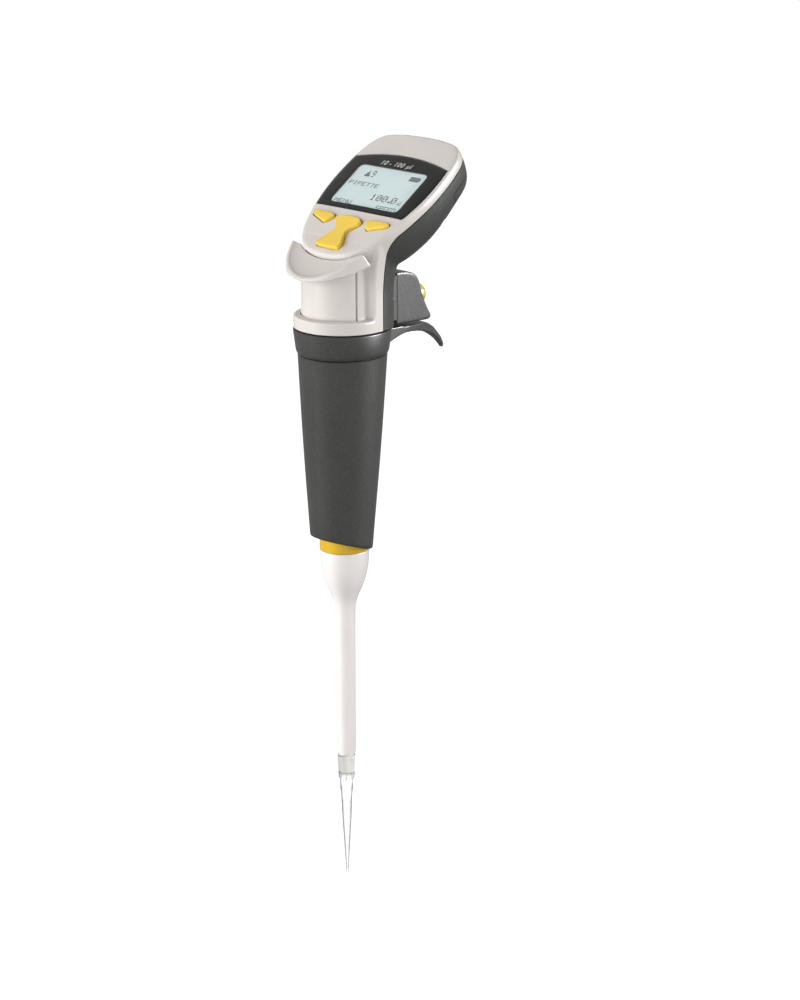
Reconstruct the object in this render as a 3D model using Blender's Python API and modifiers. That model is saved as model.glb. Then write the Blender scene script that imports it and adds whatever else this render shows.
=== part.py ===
"""Electronic single-channel micropipette: a tilted display head on a neck, a swivelling finger rest,
a tapered handle with a motor-driven piston, a tip ejector sleeve and a disposable tip.

Frame: metres, +Z up, origin on the pipette's axis at the underside of the swivel collar, where a
stand's fork carries it. The display, the keys and the thumb button face -Y, the finger rest +Y.
"""

import math

import bmesh
import bpy
from mathutils import Matrix, Vector

MM = 0.001
GAP = 0.3 * MM  # between pieces that touch or are cut by one another
RUN = 0.3 * MM  # clearance round a piece that slides or turns
FAR = 90 * MM  # half size of a cutter that has to pass everything

# Head: a flat paddle tilted back from the neck. Face coordinates are (across, along, out).
FACE_TILT = math.radians(35.6)
FACE_Z = 45.5 * MM  # where the face plane crosses the pipette's axis
HEAD_DEPTH = 16.2 * MM
WALL = 1.8 * MM
CHIN = -12.6 * MM  # lowest point of the face outline, along the face
CROWN = 52.3 * MM  # highest point of the face outline
HEAD_HALF_WIDTH = 26.9 * MM
BELLY = 0.15  # how much deeper the head grows above the neck
BELLY_RISE = (-4.0 * MM, 8.0 * MM)
BELLY_FALL = (14.0 * MM, 38.0 * MM)
PARTING_DEPTH = 3.6 * MM
PARTING_BEND = 9.0 * MM
PARTING_Y = 4.0 * MM
BATTERY_DOOR_ALONG = CROWN - 18.3 * MM
BATTERY_DOOR_DEPTH = 9.0 * MM

# Neck and the thumb button's recess
SKIRT_RADIUS = 15.3 * MM
NECK_RADIUS = SKIRT_RADIUS + 3.0 * MM
COLLAR_TOP = 9.7 * MM
RING_TOP = 14.6 * MM
SKIRT_WALL = 1.3 * MM
SKIRT_HALF_ANGLE = math.radians(66.5)
SKIRT_BOTTOM = 13.4 * MM
RECESS_Y = -0.5 * MM
GUIDE_Y = -5.2 * MM  # front face of the wall that the skirt slides before
TRAY_RADIUS = SKIRT_RADIUS + 5.5 * MM
TRAY_LIP = 1.0 * MM  # thickness at the front edge
TRAY_SLOPE = 0.365  # how fast the underside falls away towards the front
TRAY_END = -8.6 * MM  # where the tray's horns end, along the face
DISH_DEPTH = 2.2 * MM
DISH_RIM = 1.2 * MM
SKIRT_OVERLAP = 2.2 * MM
CHIN_CLEARANCE = 0.5 * MM

# Cover screws: seats and ends are measured along each screw, its head at the negative end
NECK_SCREW_X = 13.0 * MM
NECK_SCREW_Z = 20.0 * MM
NECK_SCREW_SEAT = -11.2 * MM
NECK_SCREW_END = 2.5 * MM
HEAD_SCREW_ACROSS = 21.5 * MM
HEAD_SCREW_ALONG = CROWN - 26.3 * MM
HEAD_SCREW_SEAT = -11.8 * MM
HEAD_SCREW_END = -3.2 * MM

# Display and keys, in face coordinates
LENS_BOTTOM = 10.6 * MM
LENS_TOP = CROWN - 11.7 * MM
LENS_TOP_SIDE = CROWN - 14.9 * MM
LENS_INSET = 1.3 * MM
LENS_THICK = 1.2 * MM
VIEW_HALF_WIDTH = 18.4 * MM
VIEW_BOTTOM = 13.0 * MM
VIEW_TOP = CROWN - 18.7 * MM
KEY_RISE = 1.2 * MM
KEY_EDGE = 0.35 * MM
ROCKER_HALF_WIDTH = 6.5 * MM

# Collar and finger rest
COLLAR_RADIUS = NECK_RADIUS + 0.2 * MM
COLLAR_FOOT_RADIUS = NECK_RADIUS - 0.8 * MM
COLLAR_BORE = NECK_RADIUS - 2.2 * MM
HOOK_HALF_WIDTH = 6.5 * MM
HOOK_REACH = NECK_RADIUS + 34.0 * MM
HOOK_ROOT = NECK_RADIUS - 1.4 * MM

# Trigger block
BLOCK_HALF_WIDTH = 8.0 * MM
BLOCK_FRONT = NECK_RADIUS + 2.1 * MM
BLOCK_BOTTOM = 8.0 * MM
BLOCK_TOP = 27.8 * MM
TRIGGER_TILT = math.radians(15)
TRIGGER_RADIUS = 4.3 * MM
TRIGGER_REACH = 6.2 * MM

# Handle
MOTOR_RADIUS = 8.5 * MM
HANDLE_RADIUS = NECK_RADIUS - 1.4 * MM
HANDLE_FOOT_RADIUS = MOTOR_RADIUS + 3.8 * MM
HANDLE_FOOT_SHIFT = -1.15 * MM
HANDLE_LENGTH = 75.1 * MM
HANDLE_SLANT = 0.30
HANDLE_WALL = 1.5 * MM

# Liquid end
RING_BOTTOM = -HANDLE_LENGTH - 2.5 * MM
BULB_RADIUS = 9.55 * MM
RING_SEAT = 8.3 * MM
SLEEVE_RADIUS = 4.0 * MM
SLEEVE_WALL = 1.0 * MM
SLEEVE_BOTTOM = RING_BOTTOM - 84.0 * MM
SLEEVE_HEAD_TOP = RING_BOTTOM + 10.6 * MM
TIP_TOP = SLEEVE_BOTTOM - 0.8 * MM
TIP_LENGTH = 51.0 * MM
CONE_RADIUS = 2.6 * MM
CONE_TOP = RING_BOTTOM + 15.0 * MM
CONE_BOTTOM = TIP_TOP - 8.1 * MM
CONE_HEAD_RADIUS = 3.4 * MM
PISTON_RADIUS = 1.6 * MM
PISTON_TRAVEL = 15.0 * MM  # 12.5 mm for the full volume and 2.5 mm of blow-out
PISTON_BOTTOM = RING_BOTTOM - 25.4 * MM

# Drive
MOTOR_TOP = -8.0 * MM
MOTOR_LENGTH = 22.0 * MM
SCREW_RADIUS = 1.5 * MM
SCREW_TOP = 2.0 * MM
NUT_RADIUS = 4.2 * MM
NUT_LENGTH = 8.0 * MM
FRAME_RADIUS = MOTOR_RADIUS + 0.3 * MM
FRAME_WALL = 1.2 * MM
FRAME_FLOOR = 4.0 * MM
FRAME_BOTTOM = RING_BOTTOM + 12.8 * MM
CARRIAGE_TOP = -34.0 * MM
ROD_RADIUS = 1.1 * MM
ROD_Y = -(MOTOR_RADIUS + ROD_RADIUS + 0.6 * MM)
ROD_TOP = 30.4 * MM


# ---------------------------------------------------------------- scene and materials

def clear_scene():
    for obj in list(bpy.data.objects):
        bpy.data.objects.remove(obj)


def new_collection(name):
    collection = bpy.data.collections.new(name)
    bpy.context.scene.collection.children.link(collection)
    return collection


clear_scene()
PARTS = new_collection("micropipette")
CUTTERS = new_collection("cutters")


def finish(name, colour, roughness, metallic=0.0, alpha=1.0):
    material = bpy.data.materials.new(name)
    material.use_nodes = True
    shader = material.node_tree.nodes["Principled BSDF"]
    shader.inputs["Base Color"].default_value = (*colour, 1.0)
    shader.inputs["Roughness"].default_value = roughness
    shader.inputs["Metallic"].default_value = metallic
    shader.inputs["Alpha"].default_value = alpha
    return material


LIGHT_SHELL = finish("light_shell", (0.74, 0.72, 0.70), 0.42)
DARK_SHELL = finish("dark_shell", (0.10, 0.105, 0.10), 0.55)
KEY_YELLOW = finish("key_yellow", (0.86, 0.62, 0.08), 0.45)
LENS_BLACK = finish("lens_black", (0.015, 0.016, 0.015), 0.15)
LENS_CLEAR = finish("lens_clear", (0.85, 0.9, 0.9), 0.08, alpha=0.4)
LCD_GREEN = finish("lcd_green", (0.62, 0.71, 0.70), 0.3)
WHITE_SLEEVE = finish("white_sleeve", (0.88, 0.86, 0.84), 0.4)
TIP_CLEAR = finish("tip_clear", (0.9, 0.9, 0.9), 0.2, alpha=0.5)
STEEL = finish("steel", (0.6, 0.6, 0.61), 0.3, 1.0)
BRASS = finish("brass", (0.7, 0.55, 0.25), 0.35, 1.0)
RUBBER = finish("rubber", (0.03, 0.03, 0.03), 0.8)
BOARD_GREEN = finish("board_green", (0.03, 0.2, 0.09), 0.5)
CELL_BLUE = finish("cell_blue", (0.1, 0.2, 0.42), 0.45)
INNER_GREY = finish("inner_grey", (0.35, 0.35, 0.36), 0.5)

FACE = bpy.data.objects.new("face_frame", None)
FACE.location = (0, 0, FACE_Z)
FACE.rotation_euler = (FACE_TILT, 0, 0)
PARTS.objects.link(FACE)

TRIGGER_FRAME = bpy.data.objects.new("trigger_frame", None)
TRIGGER_FRAME.location = (0, BLOCK_FRONT + 14.6 * MM, 15.8 * MM)
TRIGGER_FRAME.rotation_euler = (TRIGGER_TILT - math.pi / 2, 0, 0)
PARTS.objects.link(TRIGGER_FRAME)


# ---------------------------------------------------------------- modelling helpers

def place(obj, material=None, parent=None, location=(0, 0, 0), rotation=(0, 0, 0)):
    PARTS.objects.link(obj)
    obj.parent = parent
    obj.location = location
    obj.rotation_euler = rotation
    if material:
        obj.data.materials.append(material)
    return obj


def helper(obj):
    """Marks an object as a cutter or filler, which isn't a part."""
    for collection in list(obj.users_collection):
        collection.objects.unlink(obj)
    CUTTERS.objects.link(obj)
    obj.hide_render = True
    obj.display_type = "WIRE"
    return obj


def smooth(obj, angle=35):
    obj.data.shade_smooth()
    obj.data.set_sharp_from_angle(angle=math.radians(angle))
    return obj


def mesh_object(name, bm, **placing):
    bmesh.ops.recalc_face_normals(bm, faces=bm.faces)
    mesh = bpy.data.meshes.new(name)
    bm.to_mesh(mesh)
    bm.free()
    return place(bpy.data.objects.new(name, mesh), **placing)


def block(name, low, high, bevel=0.0, **placing):
    """A box between two corners, with its edges bevelled where asked."""
    bm = bmesh.new()
    bmesh.ops.create_cube(bm, size=1.0)
    low, high = Vector(low), Vector(high)
    size = high - low
    middle = (low + high) / 2
    bm.transform(Matrix.Translation(middle) @ Matrix.Diagonal((*size, 1.0)))
    obj = mesh_object(name, bm, **placing)
    if bevel:
        edge = obj.modifiers.new("edge", "BEVEL")
        edge.width = bevel
        edge.segments = 2
    return obj


def rod(name, radius, low, high, sides=24, top_radius=None, **placing):
    """A cylinder or cone along the local Z from low to high."""
    bm = bmesh.new()
    bmesh.ops.create_cone(
        bm, cap_ends=True, segments=sides, radius1=radius,
        radius2=radius if top_radius is None else top_radius, depth=high - low,
    )
    bmesh.ops.translate(bm, verts=bm.verts, vec=(0, 0, (low + high) / 2))
    return smooth(mesh_object(name, bm, **placing))


def turned(name, profile, steps=20, **placing):
    """A turned piece. The closed profile of (radius, height) runs down its outer side first."""
    on_axis = any(radius == 0 for radius, _ in profile)
    mesh = bpy.data.meshes.new(name)
    count = len(profile)
    edges = [(i, i + 1) for i in range(count - 1)]
    if not on_axis:
        edges.append((count - 1, 0))
    mesh.from_pydata([(radius, 0, height) for radius, height in profile], edges, [])
    obj = place(bpy.data.objects.new(name, mesh), **placing)
    spin = obj.modifiers.new("turn", "SCREW")
    spin.steps = steps
    spin.render_steps = steps
    spin.use_merge_vertices = True
    spin.merge_threshold = 0.00001
    spin.use_normal_calculate = True
    return smooth(settled(obj))


def settled(obj):
    """The object with its modifiers or its curve made into one plain welded mesh."""
    bpy.context.view_layer.update()
    graph = bpy.context.evaluated_depsgraph_get()
    mesh = bpy.data.meshes.new_from_object(obj.evaluated_get(graph))
    bm = bmesh.new()
    bm.from_mesh(mesh)
    bmesh.ops.remove_doubles(bm, verts=bm.verts, dist=0.000002)
    bmesh.ops.recalc_face_normals(bm, faces=bm.faces)
    bm.to_mesh(mesh)
    bm.free()
    name, parent, material = obj.name, obj.parent, obj.active_material
    location, rotation = obj.location.copy(), obj.rotation_euler.copy()
    bpy.data.objects.remove(obj)
    made = bpy.data.objects.new(name, mesh)
    if material and not mesh.materials:
        mesh.materials.append(material)
    return place(made, parent=parent, location=location, rotation=rotation)


def prism(name, points, low, high, **placing):
    """A flat outline of (x, y) points, extruded along the local Z from low to high."""
    curve = bpy.data.curves.new(name, "CURVE")
    curve.dimensions = "2D"
    curve.fill_mode = "BOTH"
    curve.extrude = (high - low) / 2
    spline = curve.splines.new("POLY")
    spline.points.add(len(points) - 1)
    for point, (x, y) in zip(spline.points, points):
        point.co = (x, y, 0, 1)
    spline.use_cyclic_u = True
    obj = place(bpy.data.objects.new(name, curve), **placing)
    made = settled(obj)
    made.data.transform(Matrix.Translation((0, 0, (low + high) / 2)))
    return made


def side_prism(name, points, half_width, **placing):
    """A side-view outline of (y, z) points, extruded across the pipette."""
    return prism(name, points, -half_width, half_width,
                 rotation=(math.pi / 2, 0, math.pi / 2), **placing)


def loft(name, rings, mirrored_end=False, **placing):
    """A closed skin through rings of the same number of points, capped at both ends.

    With mirrored_end, the last cap is made of strips between the ring's two mirrored halves, so
    it need not be flat.
    """
    bm = bmesh.new()
    rows = [[bm.verts.new(point) for point in ring] for ring in rings]
    count = len(rings[0])
    for lower, upper in zip(rows, rows[1:]):
        for i in range(count):
            j = (i + 1) % count
            bm.faces.new((lower[i], lower[j], upper[j], upper[i]))
    bm.faces.new(list(reversed(rows[0])))
    last = rows[-1]
    if mirrored_end:
        half = count // 2
        bm.faces.new((last[0], last[1], last[-1]))
        for i in range(1, half - 1):
            bm.faces.new((last[i], last[i + 1], last[count - i - 1], last[count - i]))
        bm.faces.new((last[half - 1], last[half], last[half + 1]))
    else:
        bm.faces.new(last)
    return smooth(mesh_object(name, bm, **placing))


def tube(name, points, radius, **placing):
    """A wire along a list of points."""
    curve = bpy.data.curves.new(name, "CURVE")
    curve.dimensions = "3D"
    curve.bevel_depth = radius
    curve.bevel_resolution = 1
    curve.use_fill_caps = True
    spline = curve.splines.new("POLY")
    spline.points.add(len(points) - 1)
    for point, place_at in zip(spline.points, points):
        point.co = (*place_at, 1)
    return settled(place(bpy.data.objects.new(name, curve), **placing))


def coil(radius, low, high, turns, per_turn=12):
    """The points of a helical spring round the local Z axis."""
    steps = int(turns * per_turn)
    points = []
    for i in range(steps + 1):
        angle = 2 * math.pi * i / per_turn
        height = low + (high - low) * i / steps
        points.append((radius * math.cos(angle), radius * math.sin(angle), height))
    return points


def round_edges(obj, width, degrees):
    """Rounds the edges that are sharper than an angle."""
    edge = obj.modifiers.new("edge", "BEVEL")
    edge.width = width
    edge.segments = 2
    edge.limit_method = "ANGLE"
    edge.angle_limit = math.radians(degrees)


def boolean(target, other, operation):
    """A Boolean step. The front cover's many thin walls need the manifold solver."""
    step = target.modifiers.new(other.name, "BOOLEAN")
    step.operation = operation
    step.object = other
    step.solver = "MANIFOLD" if target.name == "front_cover" else "EXACT"
    return target


def cut(target, *cutters):
    for cutter in cutters:
        boolean(target, cutter, "DIFFERENCE")
    return target


def fuse(target, *others):
    for other in others:
        boolean(target, helper(other), "UNION")
    return target


def keep_within(target, region):
    return boolean(target, region, "INTERSECT")


def copy_of(name, obj, material=None):
    """Another object with the same mesh and modifiers."""
    made = obj.copy()
    made.data = obj.data.copy()
    made.name = name
    for collection in list(made.users_collection):
        collection.objects.unlink(made)
    PARTS.objects.link(made)
    made.hide_render = False
    made.display_type = "TEXTURED"
    made.data.materials.clear()
    if material:
        made.data.materials.append(material)
    return made


def through(points, per_span, closed=False):
    """A smooth Catmull-Rom line through the points."""
    count = len(points)
    spans = count if closed else count - 1
    line = []
    for k in range(spans):
        ends = []
        for offset in (-1, 0, 1, 2):
            index = k + offset
            index = index % count if closed else min(max(index, 0), count - 1)
            ends.append(Vector(points[index]))
        before, start, end, after = ends
        for step in range(per_span):
            t = step / per_span
            line.append(
                0.5 * (2 * start + (end - before) * t
                       + (2 * before - 5 * start + 4 * end - after) * t * t
                       + (3 * start - before - 3 * end + after) * t ** 3)
            )
    if not closed:
        line.append(Vector(points[-1]))
    return line


def hung(level, points):
    """Profile points given in millimetres as (radius, height above a level)."""
    return [(radius * MM, level + height * MM) for radius, height in points]


def ramp(value, low, high):
    """A smooth step from 0 at low to 1 at high."""
    share = min(max((value - low) / (high - low), 0.0), 1.0)
    return share * share * (3 - 2 * share)


def inset(outline, distance):
    """A closed counter-clockwise outline moved inwards by a distance."""
    count = len(outline)
    moved = []
    for i, point in enumerate(outline):
        along = (outline[(i + 1) % count] - outline[i - 1]).normalized()
        moved.append(point + Vector((-along.y, along.x)) * distance)
    return moved


def face_point(across, along, out):
    """A point of the face frame in the pipette's frame."""
    turn = Matrix.Rotation(FACE_TILT, 3, "X")
    return turn @ Vector((across, along, out)) + Vector((0, 0, FACE_Z))


def arc(radius, start, end, steps, centre=(0, 0)):
    """Points on an arc. Angles are measured from -Y, the front, towards +X."""
    points = []
    for i in range(steps + 1):
        angle = start + (end - start) * i / steps
        points.append((centre[0] + radius * math.sin(angle), centre[1] - radius * math.cos(angle)))
    return points


def sector(name, inner, outer, half_angle, low, high, **placing):
    """A curved wall in front of the axis, between two radii and two heights."""
    steps = 12
    points = arc(outer, -half_angle, half_angle, steps) + arc(inner, half_angle, -half_angle, steps)
    return prism(name, points, low, high, **placing)


# ---------------------------------------------------------------- head shells

# Shares of the half width and of the length from chin to crown
HALF_OUTLINE = [
    (0.357, 0.022), (0.602, 0.080), (0.758, 0.173), (0.866, 0.280), (0.941, 0.388), (0.993, 0.518),
    (1.0, 0.656), (0.963, 0.795), (0.881, 0.900), (0.706, 0.968), (0.372, 0.994),
]


def face_outline(per_span=2):
    """The paddle's outline, counter-clockwise from the chin, across and along the face."""
    length = CROWN - CHIN
    right = [Vector((x * HEAD_HALF_WIDTH, CHIN + y * length)) for x, y in HALF_OUTLINE]
    left = [Vector((-point.x, point.y)) for point in reversed(right)]
    points = [Vector((0, CHIN)), *right, Vector((0, CROWN)), *left]
    return through(points, per_span, closed=True)


def belly(along):
    """How much deeper the head is at a place along it than its depth says."""
    return 1 + BELLY * ramp(along, *BELLY_RISE) * (1 - ramp(along, *BELLY_FALL))


def paddle(name, grow, depth, **placing):
    """The paddle's solid: outline rings down through its depth, rounded towards the back."""
    outline = face_outline()
    shape = [
        (0.0, 0.7), (-0.7, 0.1), (-4.0, 0.2), (-9.0, 1.0), (-12.5, 2.2), (-15.2, 4.4), (-16.5, 7.0),
    ]
    rings = []
    for out, step_in in shape:
        height = out * depth / 16.5
        ring = inset(outline, step_in * MM - grow)
        rings.append([(p.x, p.y, height * belly(p.y)) for p in ring])
    return loft(name, rings, mirrored_end=True, parent=FACE, **placing)


def neck_ring(radius, rear, height, count=40):
    """A horizontal neck section: round in front, fuller behind, reaching back to rear."""
    ring = []
    for i in range(count):
        angle = 2 * math.pi * i / count
        x, y = math.cos(angle), math.sin(angle)
        if y > 0:
            power = 2 / 2.35
            ring.append((radius * math.copysign(abs(x) ** power, x), rear * abs(y) ** power, height))
        else:
            ring.append((radius * x, radius * y, height))
    return ring


def neck(name, grow, bottom):
    """The neck's solid, which flares into the paddle above it."""
    sections = [(0.0, 0.0, None), (0.0, 0.0, 26.0), (0.8, 2.0, 33.0), (2.0, 6.5, 40.0), (2.6, 12.0, 47.0)]
    rings = []
    for wider, deeper, height in sections:
        z = bottom if height is None else height * MM
        rings.append(neck_ring(NECK_RADIUS + wider * MM + grow, NECK_RADIUS + deeper * MM + grow, z))
    return loft(name, rings)


def above_face(name, out):
    """Everything further out than a plane parallel to the face."""
    return helper(block(name, (-FAR, -FAR, out), (FAR, FAR, FAR), parent=FACE))


def parting_line(shift):
    """The side-view line between the light and the dark shell, moved back by shift."""
    depth = PARTING_DEPTH + shift
    line_y = PARTING_Y + shift
    bend = PARTING_BEND - shift
    centre_y = line_y + bend
    centre_z = FACE_Z + (math.sin(FACE_TILT) * centre_y - (depth + bend)) / math.cos(FACE_TILT)
    end = face_point(0, FAR, -depth)
    points = [(end.y, end.z)]
    steps = 6
    turn = math.pi / 2 - FACE_TILT
    for i in range(steps + 1):
        angle = math.pi / 2 + FACE_TILT + turn * i / steps
        points.append((centre_y + bend * math.cos(angle), centre_z + bend * math.sin(angle)))
    points.append((line_y, -FAR))
    return points


def front_region():
    points = parting_line(0) + [(-FAR, -FAR), (-FAR, 2 * FAR)]
    return helper(side_prism("front_region", points, FAR))


def rear_region():
    points = parting_line(GAP) + [(2 * FAR, -FAR), (2 * FAR, FAR)]
    return helper(side_prism("rear_region", points, FAR))


def behind_door(name, gap):
    """The part of the head's back that the battery door covers, less a gap."""
    low = (-FAR, BATTERY_DOOR_ALONG + gap, -FAR)
    return helper(block(name, low, (FAR, FAR, -BATTERY_DOOR_DEPTH - gap), parent=FACE))


def screw_frames():
    """The four cover screws: the lower pair runs along +Y, the upper pair square to the face."""
    frames = []
    for side in (-1, 1):
        lower = Matrix.Translation((side * NECK_SCREW_X, 0, NECK_SCREW_Z))
        lower = lower @ Matrix.Rotation(math.pi / 2, 4, "X")
        frames.append((None, lower, NECK_SCREW_SEAT, NECK_SCREW_END))
    for side in (-1, 1):
        upper = Matrix.Translation((side * HEAD_SCREW_ACROSS, HEAD_SCREW_ALONG, 0))
        frames.append((FACE, upper, HEAD_SCREW_SEAT, HEAD_SCREW_END))
    return frames


def key_outline():
    """The right-hand soft key, in face coordinates."""
    corners = [
        (8.7, 6.1), (9.1, 4.8), (10.4, 3.2), (11.6, 2.4), (12.8, 2.5), (15.8, 3.6), (18.9, 4.6), (20.3, 5.4),
        (20.7, 6.2), (20.0, 6.9), (18.2, 7.2), (14.2, 7.2), (9.9, 6.8),
    ]
    return [Vector((x * MM, y * MM)) for x, y in corners]


def rocker_outline():
    """The waisted up-down key, counter-clockwise."""
    half = [
        (4.6, -9.0), (6.2, -8.3), (6.1, -6.6), (4.4, -3.2), (3.3, -1.0), (3.6, 0.6), (4.8, 2.2), (6.4, 3.9),
        (6.5, 5.3), (5.0, 6.4), (2.2, 7.0),
    ]
    width = ROCKER_HALF_WIDTH / 6.5
    right = [Vector((x * width, y * MM)) for x, y in half]
    left = [Vector((-point.x, point.y)) for point in reversed(right)]
    return through(right + left, 2, closed=True)


def lens_outline(step_in):
    """The display lens: the head's outline cut by a straight lower and an arched upper edge."""
    edge = [p for p in inset(face_outline(6), LENS_INSET) if p.x > 0]
    right = [p for p in edge if LENS_BOTTOM < p.y < LENS_TOP_SIDE]
    low_x, high_x = right[0].x, right[-1].x
    points = [Vector((low_x - 0.2 * MM, LENS_BOTTOM)), *right[1:-1], Vector((high_x, LENS_TOP_SIDE))]
    rise = LENS_TOP - LENS_TOP_SIDE
    arch = 6
    top = []
    for i in range(1, arch):
        x = high_x * (1 - i / arch)
        top.append(Vector((x, LENS_TOP_SIDE + rise * (1 - (x / high_x) ** 2))))
    right = points + top
    left = [Vector((-p.x, p.y)) for p in reversed(right)]
    return inset(right + [Vector((0, LENS_TOP))] + left, step_in)


def make_head():
    """The light front cover, the dark rear cover and the battery door."""
    neck_skin = cut(neck("neck_skin", 0, COLLAR_TOP + GAP), above_face("over_neck", -2 * MM))
    skin = helper(fuse(paddle("head_skin", 0, HEAD_DEPTH), neck_skin))
    inner_neck = neck("inner_neck", -WALL + 0.1 * MM, -FAR / 3)
    keep_within(inner_neck, helper(block("behind_recess", (-FAR, RECESS_Y + WALL, -FAR), (FAR, FAR, FAR))))
    cut(inner_neck, above_face("over_cavity", -WALL))
    drum = rod("neck_drum", SKIRT_RADIUS - 2.3 * MM, -FAR / 3, FAR, sides=40)
    keep_within(drum, helper(block("behind_guide", (-FAR, GUIDE_Y + WALL, -FAR), (FAR, FAR, FAR))))
    cut(drum, above_face("over_drum", -2 * MM - WALL))
    cavity = paddle("head_cavity", -WALL, HEAD_DEPTH)
    cavity.data.transform(Matrix.Diagonal((1, 1, 1 - 2 * WALL / HEAD_DEPTH, 1)))
    cavity.location = (0, 0, -WALL)
    fuse(cavity, inner_neck, drum)
    helper(cavity)

    chin = helper(paddle("chin_skin", 0, HEAD_DEPTH))
    recess = helper(block("recess", (-FAR, -FAR, RING_TOP), (FAR, RECESS_Y, 50 * MM)))
    cut(recess, helper(rod("recess_core", SKIRT_RADIUS - 0.1 * MM, -FAR, FAR, sides=40)), chin)
    pocket = rod("skirt_pocket", SKIRT_RADIUS + RUN + 0.1 * MM, -10 * MM, 50 * MM, sides=48)
    keep_within(pocket, helper(block("before_guide", (-FAR, -FAR, -FAR), (FAR, GUIDE_Y, FAR))))
    helper(cut(pocket, chin))

    front = copy_of("front_cover", skin, LIGHT_SHELL)
    keep_within(front, front_region())
    cut(front, cavity)
    frames = screw_frames()
    for i, (parent, at, _, _) in enumerate(frames[2:]):
        fuse(front, rod(f"front_boss_{i}", 1.9 * MM, -8.9 * MM, -0.8 * MM, sides=14, parent=parent,
                        location=at.translation))
    cut(front, recess, pocket)
    cut(front, helper(prism("lens_seat", lens_outline(-GAP), -LENS_THICK - GAP, FAR, parent=FACE)))
    cut(front, helper(block("view_hole", (-VIEW_HALF_WIDTH - 1 * MM, VIEW_BOTTOM - 1 * MM, -5 * MM),
                            (VIEW_HALF_WIDTH + 1 * MM, VIEW_TOP + 1 * MM, 5 * MM), parent=FACE)))
    for side, name in ((1, "right"), (-1, "left")):
        hole = [Vector((p.x * side, p.y)) for p in inset(key_outline(), -RUN)]
        cut(front, helper(prism(f"{name}_key_hole", hole, -6 * MM, 6 * MM, parent=FACE)))
    cut(front, helper(prism("rocker_hole", inset(rocker_outline(), -RUN), -6 * MM, 6 * MM, parent=FACE)))
    for i, (parent, at, _, end) in enumerate(frames):
        cut(front, helper(rod(f"screw_thread_{i}", 1.05 * MM, -FAR, end + 0.6 * MM, sides=12, parent=parent,
                              location=at.translation, rotation=at.to_euler())))

    rear = copy_of("rear_cover", skin, DARK_SHELL)
    keep_within(rear, rear_region())
    cut(rear, cavity)
    for i, (parent, at, seat, _) in enumerate(frames):
        low = seat - 2.0 * MM
        high = -9.3 * MM if parent else -(PARTING_Y + GAP + 0.4 * MM)
        fuse(rear, rod(f"rear_boss_{i}", 2.9 * MM, low, high, sides=16, parent=parent,
                       location=at.translation, rotation=at.to_euler()))
    keep_within(rear, skin)
    cut(rear, behind_door("door_zone", 0))
    for i, (parent, at, seat, _) in enumerate(frames):
        where = {"parent": parent, "location": at.translation, "rotation": at.to_euler()}
        cut(rear, helper(rod(f"screw_hole_{i}", 1.3 * MM, -FAR, 0, sides=12, **where)))
        cut(rear, helper(rod(f"screw_sink_{i}", 2.2 * MM, -FAR, seat, sides=16, **where)))
    for side in (-1, 1):
        hole = rod(f"block_screw_hole_{side}", 1.1 * MM, -8 * MM, 8 * MM, sides=12, **block_screw_place(side))
        cut(rear, helper(hole))

    door = copy_of("battery_cover", skin, DARK_SHELL)
    keep_within(door, behind_door("door_kept", GAP))
    cut(door, cavity)


def make_screws():
    for i, (parent, at, seat, end) in enumerate(screw_frames()):
        where = {"parent": parent, "location": at.translation, "rotation": at.to_euler()}
        top = seat - GAP
        head = rod(f"cover_screw_{i + 1}", 1.9 * MM, top - 1.4 * MM, top, sides=16, material=STEEL, **where)
        fuse(head, rod(f"screw_shank_{i}", 0.85 * MM, seat - 1.0 * MM, end, sides=12, **where))


def make_display():
    seat = -LENS_THICK
    bezel = prism("display_bezel", lens_outline(0), seat, 0, parent=FACE, material=LENS_BLACK)
    view = (VIEW_HALF_WIDTH, VIEW_BOTTOM, VIEW_TOP)
    cut(bezel, helper(block("view_cut", (-view[0], view[1], -FAR), (view[0], view[2], FAR), parent=FACE)))
    block("display_window", (-view[0] + GAP, view[1] + GAP, seat), (view[0] - GAP, view[2] - GAP, -0.1 * MM),
          parent=FACE, material=LENS_CLEAR)
    wide = VIEW_HALF_WIDTH + 0.9 * MM
    block("lcd_panel", (-wide, VIEW_BOTTOM - 1.5 * MM, -4.6 * MM), (wide, VIEW_TOP + 1.9 * MM, -WALL - GAP),
          bevel=0.3 * MM, parent=FACE, material=LCD_GREEN)
    half = [
        (9 * MM, -1 * MM), (19 * MM, 8 * MM), (18 * MM, HEAD_SCREW_ALONG - 6 * MM),
        (18 * MM, HEAD_SCREW_ALONG + 8 * MM), (21.5 * MM, CROWN - 16.3 * MM), (20 * MM, CROWN - 7.3 * MM),
    ]
    board = [Vector(p) for p in half] + [Vector((-x, y)) for x, y in reversed(half)]
    board_piece = prism("circuit_board", board, -7.2 * MM, -5.9 * MM, parent=FACE, material=BOARD_GREEN)
    chip_low = (-5 * MM, 14 * MM, -8.4 * MM)
    fuse(board_piece, block("controller_chip", chip_low, (5 * MM, 24 * MM, -6.6 * MM), parent=FACE))
    cell_low = CROWN - 22.8 * MM
    block("battery_cell", (-16 * MM, cell_low, -13.6 * MM), (16 * MM, cell_low + 12.8 * MM, -8.8 * MM),
          bevel=0.8 * MM, parent=FACE, material=CELL_BLUE)
    block("battery_connector", (-5 * MM, cell_low - 4.1 * MM, -12 * MM),
          (5 * MM, cell_low - 0.5 * MM, -8.7 * MM), parent=FACE, material=INNER_GREY)


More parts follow.
